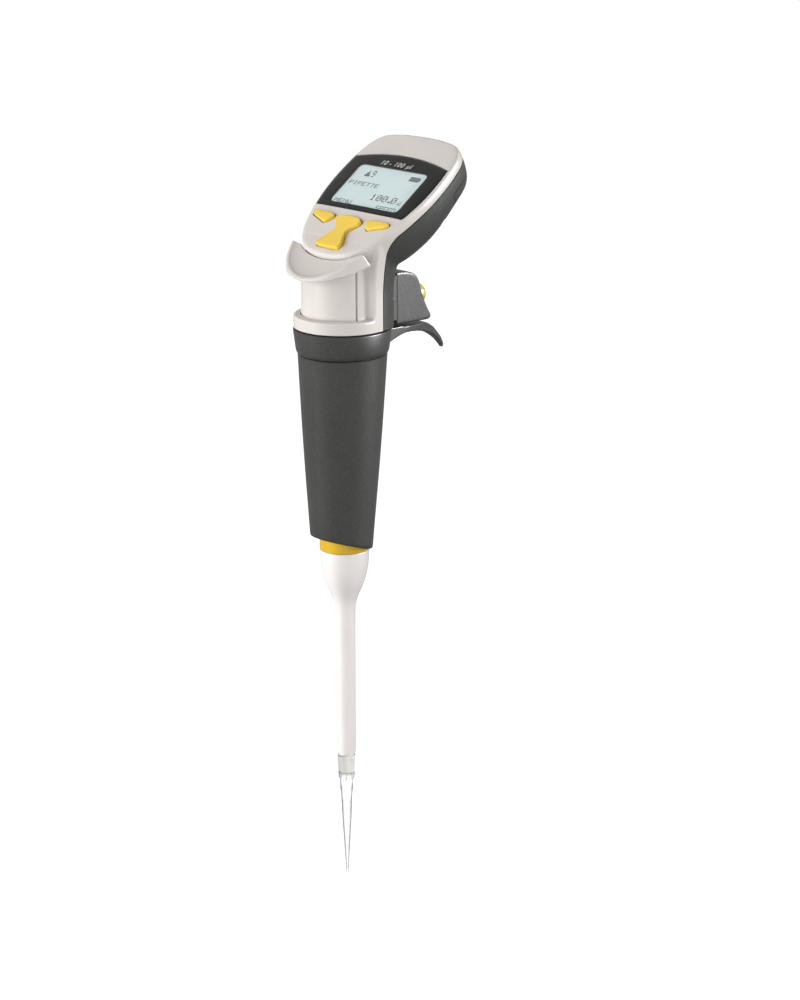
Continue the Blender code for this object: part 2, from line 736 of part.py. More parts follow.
def make_keys():
    mat_top = -WALL - GAP
    half = [(7.5, -9.0), (9.5, 0.5), (19.6, 5.0), (19.6, 9.6)]
    mat = [Vector((x * MM, y * MM)) for x, y in half + [(-x, y) for x, y in reversed(half)]]
    prism("keypad_mat", mat, mat_top - 1.6 * MM, mat_top - 1.0 * MM, parent=FACE, material=RUBBER)
    for side, name in ((1, "right"), (-1, "left")):
        top = [Vector((p.x * side, p.y)) for p in key_outline()]
        key = prism(f"{name}_key", top, mat_top - GAP, KEY_RISE, parent=FACE, material=KEY_YELLOW)
        round_edges(key, KEY_EDGE, 30)
    rocker = prism("rocker_key", rocker_outline(), mat_top - GAP, KEY_RISE, parent=FACE, material=KEY_YELLOW)
    round_edges(rocker, KEY_EDGE, 30)


# ---------------------------------------------------------------- tip ejector

def tray_side():
    """The tray's side view: all that lies above its sloping underside."""
    front = FACE_Z - math.tan(FACE_TILT) * TRAY_RADIUS - TRAY_LIP
    low = (-FAR, front - TRAY_SLOPE * (FAR - TRAY_RADIUS))
    high = (FAR, front + TRAY_SLOPE * (FAR + TRAY_RADIUS))
    return [low, high, (FAR, 2 * FAR), (-FAR, 2 * FAR)]


def make_ejector():
    """Thumb tray with its skirt, the rod, the spring, the sleeve and the volume ring."""
    tray = rod("ejector_button", TRAY_RADIUS, 10 * MM, 60 * MM, sides=48, material=LIGHT_SHELL)
    keep_within(tray, helper(side_prism("tray_side", tray_side(), FAR)))
    keep_within(tray, helper(block("tray_front", (-FAR, -FAR, -FAR), (FAR, TRAY_END, 0), parent=FACE)))
    clear = paddle("tray_clearance", CHIN_CLEARANCE, HEAD_DEPTH)
    clear.data.transform(Matrix.Diagonal((1, 1, 1.15, 1)))
    clear.location = (0, 0, 1.5 * MM)
    cut(tray, helper(clear))
    horn_x = SKIRT_RADIUS + 0.5 * MM
    cut(tray, helper(block("horn_clearance", (-horn_x, GUIDE_Y - RUN, 0), (horn_x, 0, FAR))))
    dish = rod("thumb_dish", 1, -1, 1, parent=FACE)
    dish_radius = TRAY_RADIUS - DISH_RIM
    dish.data = ball_mesh("thumb_dish_ball", (dish_radius, dish_radius / math.cos(FACE_TILT), DISH_DEPTH))
    cut(tray, helper(dish))
    skirt_inside = SKIRT_RADIUS - SKIRT_WALL
    skirt = sector("ejector_skirt", skirt_inside, SKIRT_RADIUS, SKIRT_HALF_ANGLE, SKIRT_BOTTOM, 45 * MM)
    cut(skirt, above_face("over_skirt", -SKIRT_OVERLAP), clear)
    fuse(tray, skirt)
    boss = (ROD_TOP - 4 * MM, ROD_TOP + 3.6 * MM)
    fuse(tray, rod("rod_boss", ROD_RADIUS + 1.3 * MM, *boss, sides=16, location=(0, ROD_Y, 0)))
    cut(tray, helper(rod("rod_socket", ROD_RADIUS + GAP, 0, ROD_TOP + GAP, sides=16, location=(0, ROD_Y, 0))))
    smooth(tray)

    foot = SLEEVE_HEAD_TOP + GAP
    where = {"location": (0, ROD_Y, 0), "material": STEEL}
    rod_piece = rod("ejector_rod", ROD_RADIUS, foot, ROD_TOP, sides=16, **where)
    foot_end = (2.2 * MM, -5.9 * MM, foot + 1.5 * MM)
    fuse(rod_piece, block("rod_foot", (-2.2 * MM, ROD_Y - 0.6 * MM, foot), foot_end))

    bulb = hung(RING_BOTTOM, [
        (9.55, 0), (9.45, -4.4), (8.95, -8.0), (8.2, -11.2), (7.1, -14.5), (5.75, -17.7), (4.75, -20.6),
        (4.2, -23.4),
    ])
    tube_end = [
        (SLEEVE_RADIUS + 0.05 * MM, RING_BOTTOM - 27.4 * MM),
        (SLEEVE_RADIUS - 0.1 * MM, SLEEVE_BOTTOM + 0.8 * MM),
        (SLEEVE_RADIUS - 0.6 * MM, SLEEVE_BOTTOM),
        (SLEEVE_RADIUS - SLEEVE_WALL, SLEEVE_BOTTOM),
        (SLEEVE_RADIUS - SLEEVE_WALL, RING_BOTTOM - 23.9 * MM),
    ]
    inner = hung(RING_BOTTOM, [
        (4.4, -19.4), (7.7, -9.9), (8.1, -5.4), (7.0, 0.3), (7.0, 1.2), (3.8, 1.2), (3.8, 2.7), (7.0, 2.7),
        (7.0, 10.6),
    ])
    top = [(RING_SEAT, SLEEVE_HEAD_TOP), (RING_SEAT, RING_BOTTOM)]
    turned("ejector_sleeve", top + bulb + tube_end + inner, material=WHITE_SLEEVE)
    ring_top = RING_BOTTOM + 7.6 * MM
    ring_edge = BULB_RADIUS - 0.05 * MM
    ring_low = RING_BOTTOM + GAP
    turned("volume_ring", [
        (BULB_RADIUS - 0.25 * MM, ring_top), (ring_edge, ring_low + 0.5 * MM), (ring_edge, ring_low),
        (RING_SEAT + GAP, ring_low), (RING_SEAT + GAP, ring_top),
    ], material=KEY_YELLOW)
    spring_line = coil(4.4 * MM, RING_BOTTOM - 15.2 * MM, RING_BOTTOM + 0.4 * MM, 5, 8)
    tube("ejector_spring", spring_line, 0.35 * MM, material=STEEL)


def ball_mesh(name, radii):
    bm = bmesh.new()
    bmesh.ops.create_uvsphere(bm, u_segments=20, v_segments=10, radius=1.0)
    bm.transform(Matrix.Diagonal((*radii, 1.0)))
    mesh = bpy.data.meshes.new(name)
    bm.to_mesh(mesh)
    bm.free()
    return mesh


# ---------------------------------------------------------------- collar, finger rest and trigger

def make_finger_rest():
    """The swivel collar and its hook, moulded in one piece, and the ring that gives it friction."""
    rest = turned("finger_rest", [
        (COLLAR_RADIUS - 0.3 * MM, COLLAR_TOP - GAP), (COLLAR_RADIUS, COLLAR_TOP - GAP - 0.4 * MM),
        (COLLAR_FOOT_RADIUS + 0.05 * MM, 1.6 * MM), (COLLAR_FOOT_RADIUS - 0.5 * MM, 0.0), (COLLAR_BORE, 0.0),
        (COLLAR_BORE, COLLAR_TOP - GAP),
    ], steps=32, material=DARK_SHELL)
    top_line = through([
        (0, 6.9), (8.1, 6.5), (16.1, 5.9), (22.1, 5.6), (27.4, 3.1), (30.7, 0.3), (33.2, -2.5), (35.1, -5.6),
    ], 2)
    under_line = through([
        (34.4, -6.9), (33.3, -5.0), (31.1, -2.6), (26.7, 0.3), (19.6, 2.6), (14.7, 3.5), (10.2, 3.8),
        (5.9, 3.0), (0, 0.9),
    ], 2)
    outline = [(HOOK_ROOT + p[0] * MM, p[1] * MM) for p in top_line + under_line]
    hook = side_prism("hook", outline, HOOK_HALF_WIDTH)
    half_plan = [
        (1.0, -38.0), (1.0, -26.3), (0.92, -21.8), (0.77, -16.8), (0.55, -11.8), (0.385, -7.8), (0.277, -4.7),
        (0.20, -2.3), (0.11, -0.7),
    ]
    half = [(share * HOOK_HALF_WIDTH, HOOK_REACH + back * MM) for share, back in half_plan]
    plan = through(half + [(0, HOOK_REACH)] + [(-x, y) for x, y in reversed(half)], 2)
    keep_within(hook, helper(prism("hook_plan", plan, -FAR, FAR)))
    round_edges(hook, 0.5 * MM, 50)
    fuse(rest, hook)
    turned("friction_ring", [
        (COLLAR_BORE - GAP, 4.6 * MM), (COLLAR_BORE - GAP, 3.4 * MM),
        (COLLAR_BORE - 1.1 * MM, 3.4 * MM), (COLLAR_BORE - 1.1 * MM, 4.6 * MM),
    ], steps=32, material=RUBBER)


def block_screw_place(side):
    """Where a screw that holds the trigger block from inside the neck sits."""
    return {"location": (side * 3.0 * MM, NECK_RADIUS, 14 * MM), "rotation": (math.pi / 2, 0, 0)}


def make_trigger():
    """The block behind the neck with its button, spring and switch."""
    back = [
        (1.2, 19.8), (5.6, 19.5), (9.4, 18.1), (11.6, 15.6), (12.9, 11.8), (14.6, 7.4), (16.7, 3.5),
        (17.8, 1.3), (17.6, 0.3), (16.8, -0.3),
    ]
    outline = [(BLOCK_FRONT, BLOCK_BOTTOM), (BLOCK_FRONT, BLOCK_TOP - 1.2 * MM)]
    outline += [(BLOCK_FRONT + y * MM, BLOCK_BOTTOM + z * MM) for y, z in back]
    housing = side_prism("trigger_housing", outline, BLOCK_HALF_WIDTH, material=DARK_SHELL)
    round_edges(housing, 1.0 * MM, 50)
    foot = block("block_foot", (-5 * MM, NECK_RADIUS + GAP, BLOCK_BOTTOM + 3 * MM),
                 (5 * MM, BLOCK_FRONT + 1.0 * MM, BLOCK_TOP - 4 * MM))
    fuse(housing, foot)
    bore = TRIGGER_RADIUS + RUN
    cut(housing, helper(rod("button_bore", bore, -5.4 * MM, 20 * MM, sides=32, parent=TRIGGER_FRAME)))
    cut(housing, helper(rod("spring_bore", 2.3 * MM, -9.2 * MM, 0, sides=24, parent=TRIGGER_FRAME)))
    slot_low = (-3.4 * MM, -4.3 * MM, -12.3 * MM)
    cut(housing, helper(block("switch_slot", slot_low, (3.4 * MM, 4.3 * MM, -8.6 * MM), parent=TRIGGER_FRAME)))
    for number, side in ((1, -1), (2, 1)):
        where = block_screw_place(side)
        cut(housing, helper(rod(f"block_screw_bore_{number}", 1.05 * MM, -5 * MM, 5 * MM, sides=12, **where)))
        head = rod(f"block_screw_head_{number}", 1.8 * MM, WALL + 0.9 * MM, WALL + 2.2 * MM, sides=16, **where)
        screw = rod(f"block_screw_{number}", 0.8 * MM, -3.3 * MM, WALL + 1.2 * MM, sides=12, material=STEEL,
                    **where)
        fuse(screw, head)
    button = rod("trigger_button", TRIGGER_RADIUS, -3.4 * MM, TRIGGER_REACH - 2 * MM, sides=24,
                 parent=TRIGGER_FRAME, material=KEY_YELLOW)
    cap = rod("button_dome", 1, -1, 1, parent=TRIGGER_FRAME)
    cap.data = ball_mesh("button_dome_ball", (TRIGGER_RADIUS - 0.02 * MM, TRIGGER_RADIUS - 0.02 * MM, 2 * MM))
    cap.location = (0, 0, TRIGGER_REACH - 2 * MM)
    fuse(button, cap)
    stem = rod("button_stem", 1.2 * MM, -6.9 * MM, -3.0 * MM, sides=16, parent=TRIGGER_FRAME)
    fuse(button, stem)
    spring_line = coil(1.75 * MM, -8.6 * MM, -3.95 * MM, 4, 8)
    tube("trigger_spring", spring_line, 0.22 * MM, parent=TRIGGER_FRAME, material=STEEL)
    block("trigger_switch", (-3.0 * MM, -4.0 * MM, -12.0 * MM), (3.0 * MM, 4.0 * MM, -9.0 * MM),
          bevel=0.3 * MM, parent=TRIGGER_FRAME, material=INNER_GREY)


# ---------------------------------------------------------------- handle and drive

def handle_ring(radius, shift, height, count=40):
    ring = []
    for i in range(count):
        angle = 2 * math.pi * i / count
        ring.append((radius * math.cos(angle), shift + radius * math.sin(angle), height))
    return ring


def handle_loft(name, wall, low, high):
    """The handle's tapered body, moved in by wall, between two heights."""
    rings = []
    steps = 4
    for i in range(steps + 1):
        z = low + (high - low) * i / steps
        share = min(max(-z / (HANDLE_LENGTH - 5.1 * MM), 0.0), 1.2)
        radius = HANDLE_RADIUS + (HANDLE_FOOT_RADIUS - HANDLE_RADIUS) * share
        rings.append(handle_ring(radius - wall, HANDLE_FOOT_SHIFT * share, z))
    return loft(name, rings)


def make_handle():
    body = handle_loft("handle_shell", 0.0, -HANDLE_LENGTH - 6 * MM, -GAP)
    body.data.materials.append(DARK_SHELL)
    slant = math.atan(HANDLE_SLANT)
    floor = block("slant_cut", (-FAR, -FAR, -FAR), (FAR, FAR, 0), location=(0, 0, -HANDLE_LENGTH),
                  rotation=(-slant, 0, 0))
    spigot = rod("collar_spigot", COLLAR_BORE - RUN, -3 * MM, COLLAR_TOP - 0.4 * MM, sides=48)
    way_angle = SKIRT_HALF_ANGLE + math.radians(3)
    cut(spigot, helper(sector("skirt_way", 5 * MM, FAR, way_angle, 2.0 * MM, 20 * MM)))
    fuse(body, spigot)
    cut(body, helper(floor))
    cut(body, helper(handle_loft("handle_hollow", HANDLE_WALL, -HANDLE_LENGTH - 9 * MM, -2.0 * MM)))
    cut(body, helper(rod("sleeve_way", BULB_RADIUS + RUN, -2 * FAR, RING_BOTTOM + 9 * MM, sides=40)))
    cut(body, helper(rod("neck_way", COLLAR_BORE - 1.9 * MM, -5 * MM, 30 * MM, sides=32)))
    groove = (COLLAR_BORE + 1 * MM, COLLAR_BORE - 1.4 * MM)
    cut(body, helper(turned("ring_groove", [
        (groove[0], 4.9 * MM), (groove[0], 3.1 * MM), (groove[1], 3.1 * MM), (groove[1], 4.9 * MM),
    ], steps=32)))


def make_drive():
    """A motor whose turning nut drives a screw, the carriage and piston below it, and their frame."""
    motor_low = MOTOR_TOP - MOTOR_LENGTH
    motor = rod("drive_motor", MOTOR_RADIUS, motor_low, MOTOR_TOP, sides=28, material=INNER_GREY)
    fuse(motor, rod("motor_boss", 3.5 * MM, motor_low - 1.2 * MM, motor_low + 1 * MM, sides=20))
    cut(motor, helper(rod("motor_bore", SCREW_RADIUS + RUN, -FAR, FAR, sides=16)))
    nut_top = MOTOR_TOP - (MOTOR_LENGTH - NUT_LENGTH) / 2
    nut_low = nut_top - NUT_LENGTH
    cut(motor, helper(rod("nut_chamber", NUT_RADIUS + RUN, nut_low - RUN, nut_top + RUN, sides=20)))
    nut = rod("drive_nut", NUT_RADIUS, nut_low, nut_top, sides=20, material=BRASS)
    cut(nut, helper(rod("nut_bore", SCREW_RADIUS + 0.2 * MM, -FAR, FAR, sides=16)))
    grip = CARRIAGE_TOP - 4.0 * MM
    rod("lead_screw", SCREW_RADIUS, grip, SCREW_TOP, sides=16, material=STEEL)
    frame_top = motor_low - GAP
    cone_hole = CONE_HEAD_RADIUS + GAP
    frame_bore = FRAME_RADIUS - FRAME_WALL
    frame_step = FRAME_BOTTOM + 2.0 * MM
    frame = turned("drive_frame", [
        (FRAME_RADIUS, frame_top), (FRAME_RADIUS, frame_step), (6.6 * MM, frame_step),
        (6.6 * MM, FRAME_BOTTOM), (cone_hole, FRAME_BOTTOM), (cone_hole, FRAME_BOTTOM + FRAME_FLOOR),
        (frame_bore, FRAME_BOTTOM + FRAME_FLOOR), (frame_bore, frame_top - 1.6 * MM),
        (3.8 * MM, frame_top - 1.6 * MM), (3.8 * MM, frame_top),
    ], material=INNER_GREY)
    carriage_radius = frame_bore - 0.4 * MM
    carriage_foot = CARRIAGE_TOP - 8.6 * MM
    carriage = turned("piston_carriage", [
        (carriage_radius, CARRIAGE_TOP), (carriage_radius, grip), (3.2 * MM, grip), (3.2 * MM, carriage_foot),
        (SCREW_RADIUS + 0.4 * MM, carriage_foot), (SCREW_RADIUS + 0.4 * MM, CARRIAGE_TOP),
    ], material=INNER_GREY)
    ear = 1.2 * MM
    for side in (-1, 1):
        slot = (side * FRAME_RADIUS - 3 * MM, side * FRAME_RADIUS + 3 * MM)
        slot_low = (slot[0], -ear - 0.4 * MM, grip - PISTON_TRAVEL - 1 * MM)
        slot_high = (slot[1], ear + 0.4 * MM, CARRIAGE_TOP + 0.5 * MM)
        cut(frame, helper(block(f"guide_slot_{side}", slot_low, slot_high)))
        reach = (side * (carriage_radius - 1 * MM), side * (FRAME_RADIUS - 0.3 * MM))
        fuse(carriage, block(f"carriage_ear_{side}", (min(reach), -ear, grip + 0.4 * MM),
                             (max(reach), ear, CARRIAGE_TOP - 0.4 * MM)))
    rod("piston", PISTON_RADIUS, PISTON_BOTTOM, grip - GAP, sides=20, material=STEEL)
    seal_bore = PISTON_RADIUS / MM + 0.12
    retainer_bore = PISTON_RADIUS / MM + 0.3
    seal = [(2.85, 7.4), (2.85, 6.0), (seal_bore, 6.0), (seal_bore, 7.4)]
    retainer = [(2.85, 10.2), (2.85, 7.7), (retainer_bore, 7.7), (retainer_bore, 10.2)]
    turned("piston_seal", hung(RING_BOTTOM, seal), steps=24, material=RUBBER)
    turned("seal_retainer", hung(RING_BOTTOM, retainer), steps=24, material=BRASS)
    shoulder = [(CONE_HEAD_RADIUS, CONE_TOP), (CONE_HEAD_RADIUS, RING_BOTTOM - 16 * MM)]
    shoulder += hung(RING_BOTTOM, [(4.9, -16.0), (4.9, -16.8), (2.5, -18.0)])
    piston_bore = PISTON_RADIUS + 0.35 * MM
    nose = [
        (CONE_RADIUS, TIP_TOP + 1.9 * MM), (CONE_RADIUS, TIP_TOP + 0.4 * MM),
        (CONE_RADIUS - 0.25 * MM, CONE_BOTTOM), (1.2 * MM, CONE_BOTTOM), (1.2 * MM, RING_BOTTOM - 56.4 * MM),
        (piston_bore, RING_BOTTOM - 55.4 * MM), (piston_bore, RING_BOTTOM + 5.7 * MM),
    ]
    gland = hung(RING_BOTTOM, [(3.12, 5.7), (3.12, 10.7), (2.3, 10.7), (2.3, 15.0)])
    turned("tip_cone", shoulder + nose + gland, steps=24, material=INNER_GREY)


def make_tip():
    """The disposable tip with its collar, ribs and long taper."""
    end = -TIP_LENGTH / MM
    rim = CONE_RADIUS / MM
    outer = [
        (3.55, 0), (3.3, -6.8), (3.1, -9.8), (2.65, -10.5), (2.55, -14.2), (2.4, -14.8), (2.2, -19.6),
        (1.3, -37.1), (0.42, end),
    ]
    inner = [
        (0.22, end), (0.9, -37.1), (1.75, -19.6), (2.05, -14.4), (2.6, -9.0), (rim + 0.3, -0.5),
        (rim + 0.5, 0),
    ]
    turned("pipette_tip", hung(TIP_TOP, outer + inner), steps=24, material=TIP_CLEAR)


make_head()
make_screws()
make_display()
make_keys()
make_ejector()
make_finger_rest()
make_trigger()
make_handle()
make_drive()
make_tip()
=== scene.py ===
"""Fine visible meshes and finishes for an electronic micropipette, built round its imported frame."""

import logging
import math
from dataclasses import dataclass, field
from enum import Enum
from typing import Callable, Iterable, Sequence

import bmesh
import bpy
import numpy as np
from mathutils import Matrix, Vector


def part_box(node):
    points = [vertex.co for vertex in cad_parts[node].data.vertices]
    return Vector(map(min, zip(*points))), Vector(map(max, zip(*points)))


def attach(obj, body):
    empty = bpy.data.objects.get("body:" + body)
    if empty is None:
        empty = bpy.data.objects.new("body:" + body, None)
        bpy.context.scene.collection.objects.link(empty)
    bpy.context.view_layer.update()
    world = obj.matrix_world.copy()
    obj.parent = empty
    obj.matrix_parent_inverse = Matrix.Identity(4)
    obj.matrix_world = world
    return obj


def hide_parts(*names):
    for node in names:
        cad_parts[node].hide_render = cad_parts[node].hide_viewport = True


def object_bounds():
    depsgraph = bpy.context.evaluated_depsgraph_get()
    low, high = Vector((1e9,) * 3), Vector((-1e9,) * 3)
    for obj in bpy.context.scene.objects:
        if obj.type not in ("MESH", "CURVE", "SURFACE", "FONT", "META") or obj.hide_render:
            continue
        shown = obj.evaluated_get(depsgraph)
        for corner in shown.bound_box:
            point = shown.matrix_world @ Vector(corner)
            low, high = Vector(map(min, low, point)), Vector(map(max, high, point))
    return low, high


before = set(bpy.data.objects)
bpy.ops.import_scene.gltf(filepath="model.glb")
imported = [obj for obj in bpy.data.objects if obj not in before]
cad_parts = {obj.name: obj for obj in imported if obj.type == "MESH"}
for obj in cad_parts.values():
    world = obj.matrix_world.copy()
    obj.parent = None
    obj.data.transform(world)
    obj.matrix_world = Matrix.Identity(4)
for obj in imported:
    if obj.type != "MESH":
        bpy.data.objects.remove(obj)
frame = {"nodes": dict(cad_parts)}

CAD_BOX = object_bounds()
LOG = logging.getLogger("micropipette")
MM = 0.001
FAR = 90 * MM
WELD = 0.002 * MM
SOFTENING = (0.55, -0.18)
Point2 = Sequence[float]
Point3 = Sequence[float]
Colour = tuple[float, float, float]
Piece = bpy.types.Object
Material = bpy.types.Material
Node = bpy.types.Node
Socket = bpy.types.NodeSocket


class Body(Enum):
    """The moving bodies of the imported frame."""

    CASING = "casing"
    DOOR = "battery_door"
    LEFT = "left_button"
    RIGHT = "right_button"
    ROCKER = "rocker"
    TRIGGER = "trigger"
    REST = "swivel_rest"
    EJECTOR = "ejector"
    TIP = "disposable_tip"
    CARRIAGE = "carriage"
    NUT = "nut"


class Cut(Enum):
    """How one solid acts on another."""

    JOIN = "UNION"
    REMOVE = "DIFFERENCE"
    KEEP = "INTERSECT"


# ---------------------------------------------------------------- shader expressions

class Value:
    """A shader number that works in Python expressions."""

    def __init__(self, graph: "Graph", socket: Socket) -> None:
        """Wraps one output socket.

        Args:
            graph: The graph that the socket belongs to.
            socket: The output socket.
        """
        self.graph = graph
        self.socket = socket

    def __add__(self, other: "Value | float") -> "Value":
        """Sum."""
        return self.graph.maths("ADD", self, other)

    __radd__ = __add__

    def __mul__(self, other: "Value | float") -> "Value":
        """Product."""
        return self.graph.maths("MULTIPLY", self, other)

    __rmul__ = __mul__

    def __sub__(self, other: "Value | float") -> "Value":
        """Difference."""
        return self.graph.maths("SUBTRACT", self, other)

    def __rsub__(self, other: "Value | float") -> "Value":
        """Difference with the number first."""
        return self.graph.maths("SUBTRACT", other, self)

    def __abs__(self) -> "Value":
        """Magnitude."""
        return self.graph.maths("ABSOLUTE", self, 0.0)

    def clipped(self, low: float, high: float) -> "Value":
        """The value mapped so that low becomes 0 and high becomes 1, held between them."""
        return self.graph.ranged(self, low, high)


def add_node(
    tree: bpy.types.NodeTree, kind: str, settings: dict[str, object], inputs: dict[object, object]
) -> Node:
    """Adds a node to a tree.

    Args:
        tree: The tree.
        kind: The node's type.
        settings: Its properties. "stops" holds a ramp's (place, colour) pairs.
        inputs: A value or a link for each named or numbered socket.

    Returns:
        The node.
    """
    made = tree.nodes.new(kind)
    for key, value in settings.items():
        if key == "stops":
            ramp = made.color_ramp
            ramp.elements[0].position, ramp.elements[0].color = value[0]
            ramp.elements[1].position, ramp.elements[1].color = value[-1]
            for place, colour in value[1:-1]:
                ramp.elements.new(place).color = colour
        else:
            setattr(made, key, value)
    for key, value in inputs.items():
        value = value.socket if isinstance(value, Value) else value
        if isinstance(value, Socket):
            tree.links.new(value, made.inputs[key])
        else:
            made.inputs[key].default_value = value
    return made


class Graph:
    """A material's node tree, with one way to add any node."""

    def __init__(self, name: str) -> None:
        """Makes a material with an empty tree.

        Args:
            name: The material's name.
        """
        self.material = bpy.data.materials.new(name)
        self.material.use_nodes = True
        self.tree = self.material.node_tree
        self.tree.nodes.clear()
        output = self.node("ShaderNodeOutputMaterial", {}, {})
        self.shader = self.node("ShaderNodeBsdfPrincipled", {}, {})
        self.tree.links.new(self.shader.outputs["BSDF"], output.inputs["Surface"])
        self.where = self.node("ShaderNodeTexCoord", {}, {}).outputs["Object"]

    def node(self, kind: str, settings: dict[str, object], inputs: dict[object, object]) -> Node:
        """Adds a node, with its properties and the values or links of its sockets."""
        return add_node(self.tree, kind, settings, inputs)

    def maths(self, operation: str, first: "Value | float", second: "Value | float") -> Value:
        """One Math node.

        Args:
            operation: Its operation.
            first: Its first number.
            second: Its second number.

        Returns:
            The result.
        """
        made = self.node("ShaderNodeMath", {"operation": operation}, {0: first, 1: second})
        return Value(self, made.outputs[0])

    def ranged(self, value: Value, low: float, high: float) -> Value:
        """A clamped Map Range from low..high to 0..1.

        Args:
            value: The value.
            low: What becomes 0.
            high: What becomes 1.

        Returns:
            The mapped value.
        """
        span = {"Value": value, "From Min": low, "From Max": high}
        made = self.node("ShaderNodeMapRange", {"clamp": True}, span)
        return Value(self, made.outputs["Result"])

    def placed(self, scale: Sequence[float] = (1, 1, 1), turn: Sequence[float] = (0, 0, 0)) -> Socket:
        """Object coordinates, turned and stretched."""
        made = self.node("ShaderNodeMapping", {}, {"Vector": self.where, "Scale": scale, "Rotation": turn})
        return made.outputs["Vector"]

    def noise(self, size: float, detail: float = 2.0, where: Socket | None = None) -> Value:
        """Noise whose features are about size metres across, from 0 to 1.

        Args:
            size: The features' size in metres.
            detail: How many finer layers it has.
            where: The coordinates, or the object's.

        Returns:
            The noise.
        """
        made = self.node(
            "ShaderNodeTexNoise", {}, {"Vector": where or self.where, "Scale": 1 / size, "Detail": detail}
        )
        return Value(self, made.outputs["Fac"])

    def mix(self, share: "Value | float", first: object, second: object) -> Socket:
        """A colour between two colours."""
        made = self.node("ShaderNodeMix", {"data_type": "RGBA"}, {"Factor": share, 6: first, 7: second})
        return made.outputs[2]

    def bump(self, height: Value, depth: float, under: Socket | None = None) -> Socket:
        """A bump of a depth in metres, laid over another one.

        Args:
            height: The height, from 0 to 1.
            depth: The depth of a height of 1.
            under: The normal that it is laid over.

        Returns:
            The normal.
        """
        inputs: dict[object, object] = {"Height": height, "Distance": depth, "Strength": 1.0}
        if under:
            inputs["Normal"] = under
        return self.node("ShaderNodeBump", {}, inputs).outputs["Normal"]

    def surface(self, **sockets: object) -> Material:
        """Sets the Principled shader's sockets, by name with _ for a space, and gives the material.

        Args:
            **sockets: A value or a link for each socket.

        Returns:
            The material.
        """
        for key, value in sockets.items():
            name = key.replace("_", " ")
            if isinstance(value, Value):
                value = value.socket
            if isinstance(value, Socket):
                self.tree.links.new(value, self.shader.inputs[name])
            else:
                self.shader.inputs[name].default_value = value
        return self.material


def rgba(colour: Colour) -> tuple[float, float, float, float]:
    """A colour with full alpha."""
    return (*colour, 1.0)


# ---------------------------------------------------------------- finishes

@dataclass(frozen=True)
class MouldedPlastic:
    """Moulded plastic with a fine spark-eroded grain, faint flow marks and handling scuffs."""

    name: str
    colour: Colour
    deep: Colour
    roughness: float
    grain: float = 0.35 * MM
    grain_depth: float = 0.02 * MM
    flecks: float = 0.0
    scuffs: float = 0.06
    coat: float = 0.0

    def material(self) -> Material:
        """Builds the material.

        Returns:
            The material.
        """
        graph = Graph(self.name)
        cloud = graph.noise(16 * MM, 3.0).clipped(0.3, 0.7)
        grain = graph.noise(self.grain, 2.0)
        pores = graph.noise(self.grain * 2.6, 4.0)
        scratch_field = graph.noise(1.1 * MM, 5.0, graph.placed((1.0, 1.0, 0.06), (0.5, 0.3, 0.2)))
        scratches = scratch_field.clipped(0.62, 0.74)
        base = graph.mix(cloud * 0.55 + grain * 0.3, rgba(self.colour), rgba(self.deep))
        if self.flecks:
            bright = tuple(min(1.0, channel * (1 + self.flecks)) for channel in self.colour)
            base = graph.mix(grain.clipped(0.56, 0.72) * 0.5, base, rgba(bright))
        rough = self.roughness + (pores - 0.5) * 0.16 + cloud * 0.04 + scratches * self.scuffs
        skin = graph.bump(grain * 0.6 + pores * 0.4, self.grain_depth)
        return graph.surface(
            Base_Color=base, Roughness=rough, Normal=graph.bump(scratches, 0.004 * MM, skin),
            Coat_Weight=self.coat, Coat_Roughness=0.25, Specular_IOR_Level=0.45,
        )


@dataclass(frozen=True)
class GlossLens:
    """Polished black acrylic with faint wiping marks and dust."""

    name: str
    colour: Colour

    def material(self) -> Material:
        """Builds the material.

        Returns:
            The material.
        """
        graph = Graph(self.name)
        wipes = graph.noise(2.4 * MM, 4.0, graph.placed((0.12, 1.0, 1.0), (0.0, 0.0, 0.5)))
        dust = graph.noise(0.22 * MM, 1.0).clipped(0.76, 0.82)
        film = graph.noise(14 * MM, 2.0).clipped(0.35, 0.75)
        base = graph.mix(dust * 0.25 + film * 0.03, rgba(self.colour), (0.32, 0.31, 0.3, 1.0))
        return graph.surface(
            Base_Color=base, Roughness=0.2 + wipes * 0.07 + dust * 0.3,
            Normal=graph.bump(wipes, 0.003 * MM), Coat_Weight=0.08, Coat_Roughness=0.06,
            Specular_IOR_Level=0.25,
        )


@dataclass(frozen=True)
class ClearPlastic:
    """Clear or milky plastic with faint flow lines."""

    name: str
    colour: Colour
    milk: Colour
    transmission: float
    roughness: float
    alpha: float = 1.0
    flow: float = 0.01 * MM
    frost: tuple[float, float] = (-1.0, -0.9)

    def material(self) -> Material:
        """Builds the material. The frosted band lies between two heights.

        Returns:
            The material.
        """
        graph = Graph(self.name)
        lines = graph.noise(0.9 * MM, 3.0, graph.placed((1.0, 1.0, 0.12)))
        haze = graph.noise(5 * MM, 2.0).clipped(0.35, 0.7)
        split = graph.node("ShaderNodeSeparateXYZ", {}, {"Vector": graph.where})
        height = Value(graph, split.outputs["Z"])
        low, high = self.frost
        soft = 0.1 * MM
        frost = height.clipped(low - soft, low + soft) * (1.0 - height.clipped(high - soft, high + soft))
        return graph.surface(
            Base_Color=graph.mix(haze * 0.3 + lines * 0.2 + frost * 0.5, rgba(self.colour), rgba(self.milk)),
            Roughness=self.roughness + lines * 0.05 + frost * 0.4, Normal=graph.bump(lines, self.flow),
            Transmission_Weight=self.transmission, IOR=1.49, Alpha=self.alpha,
        )


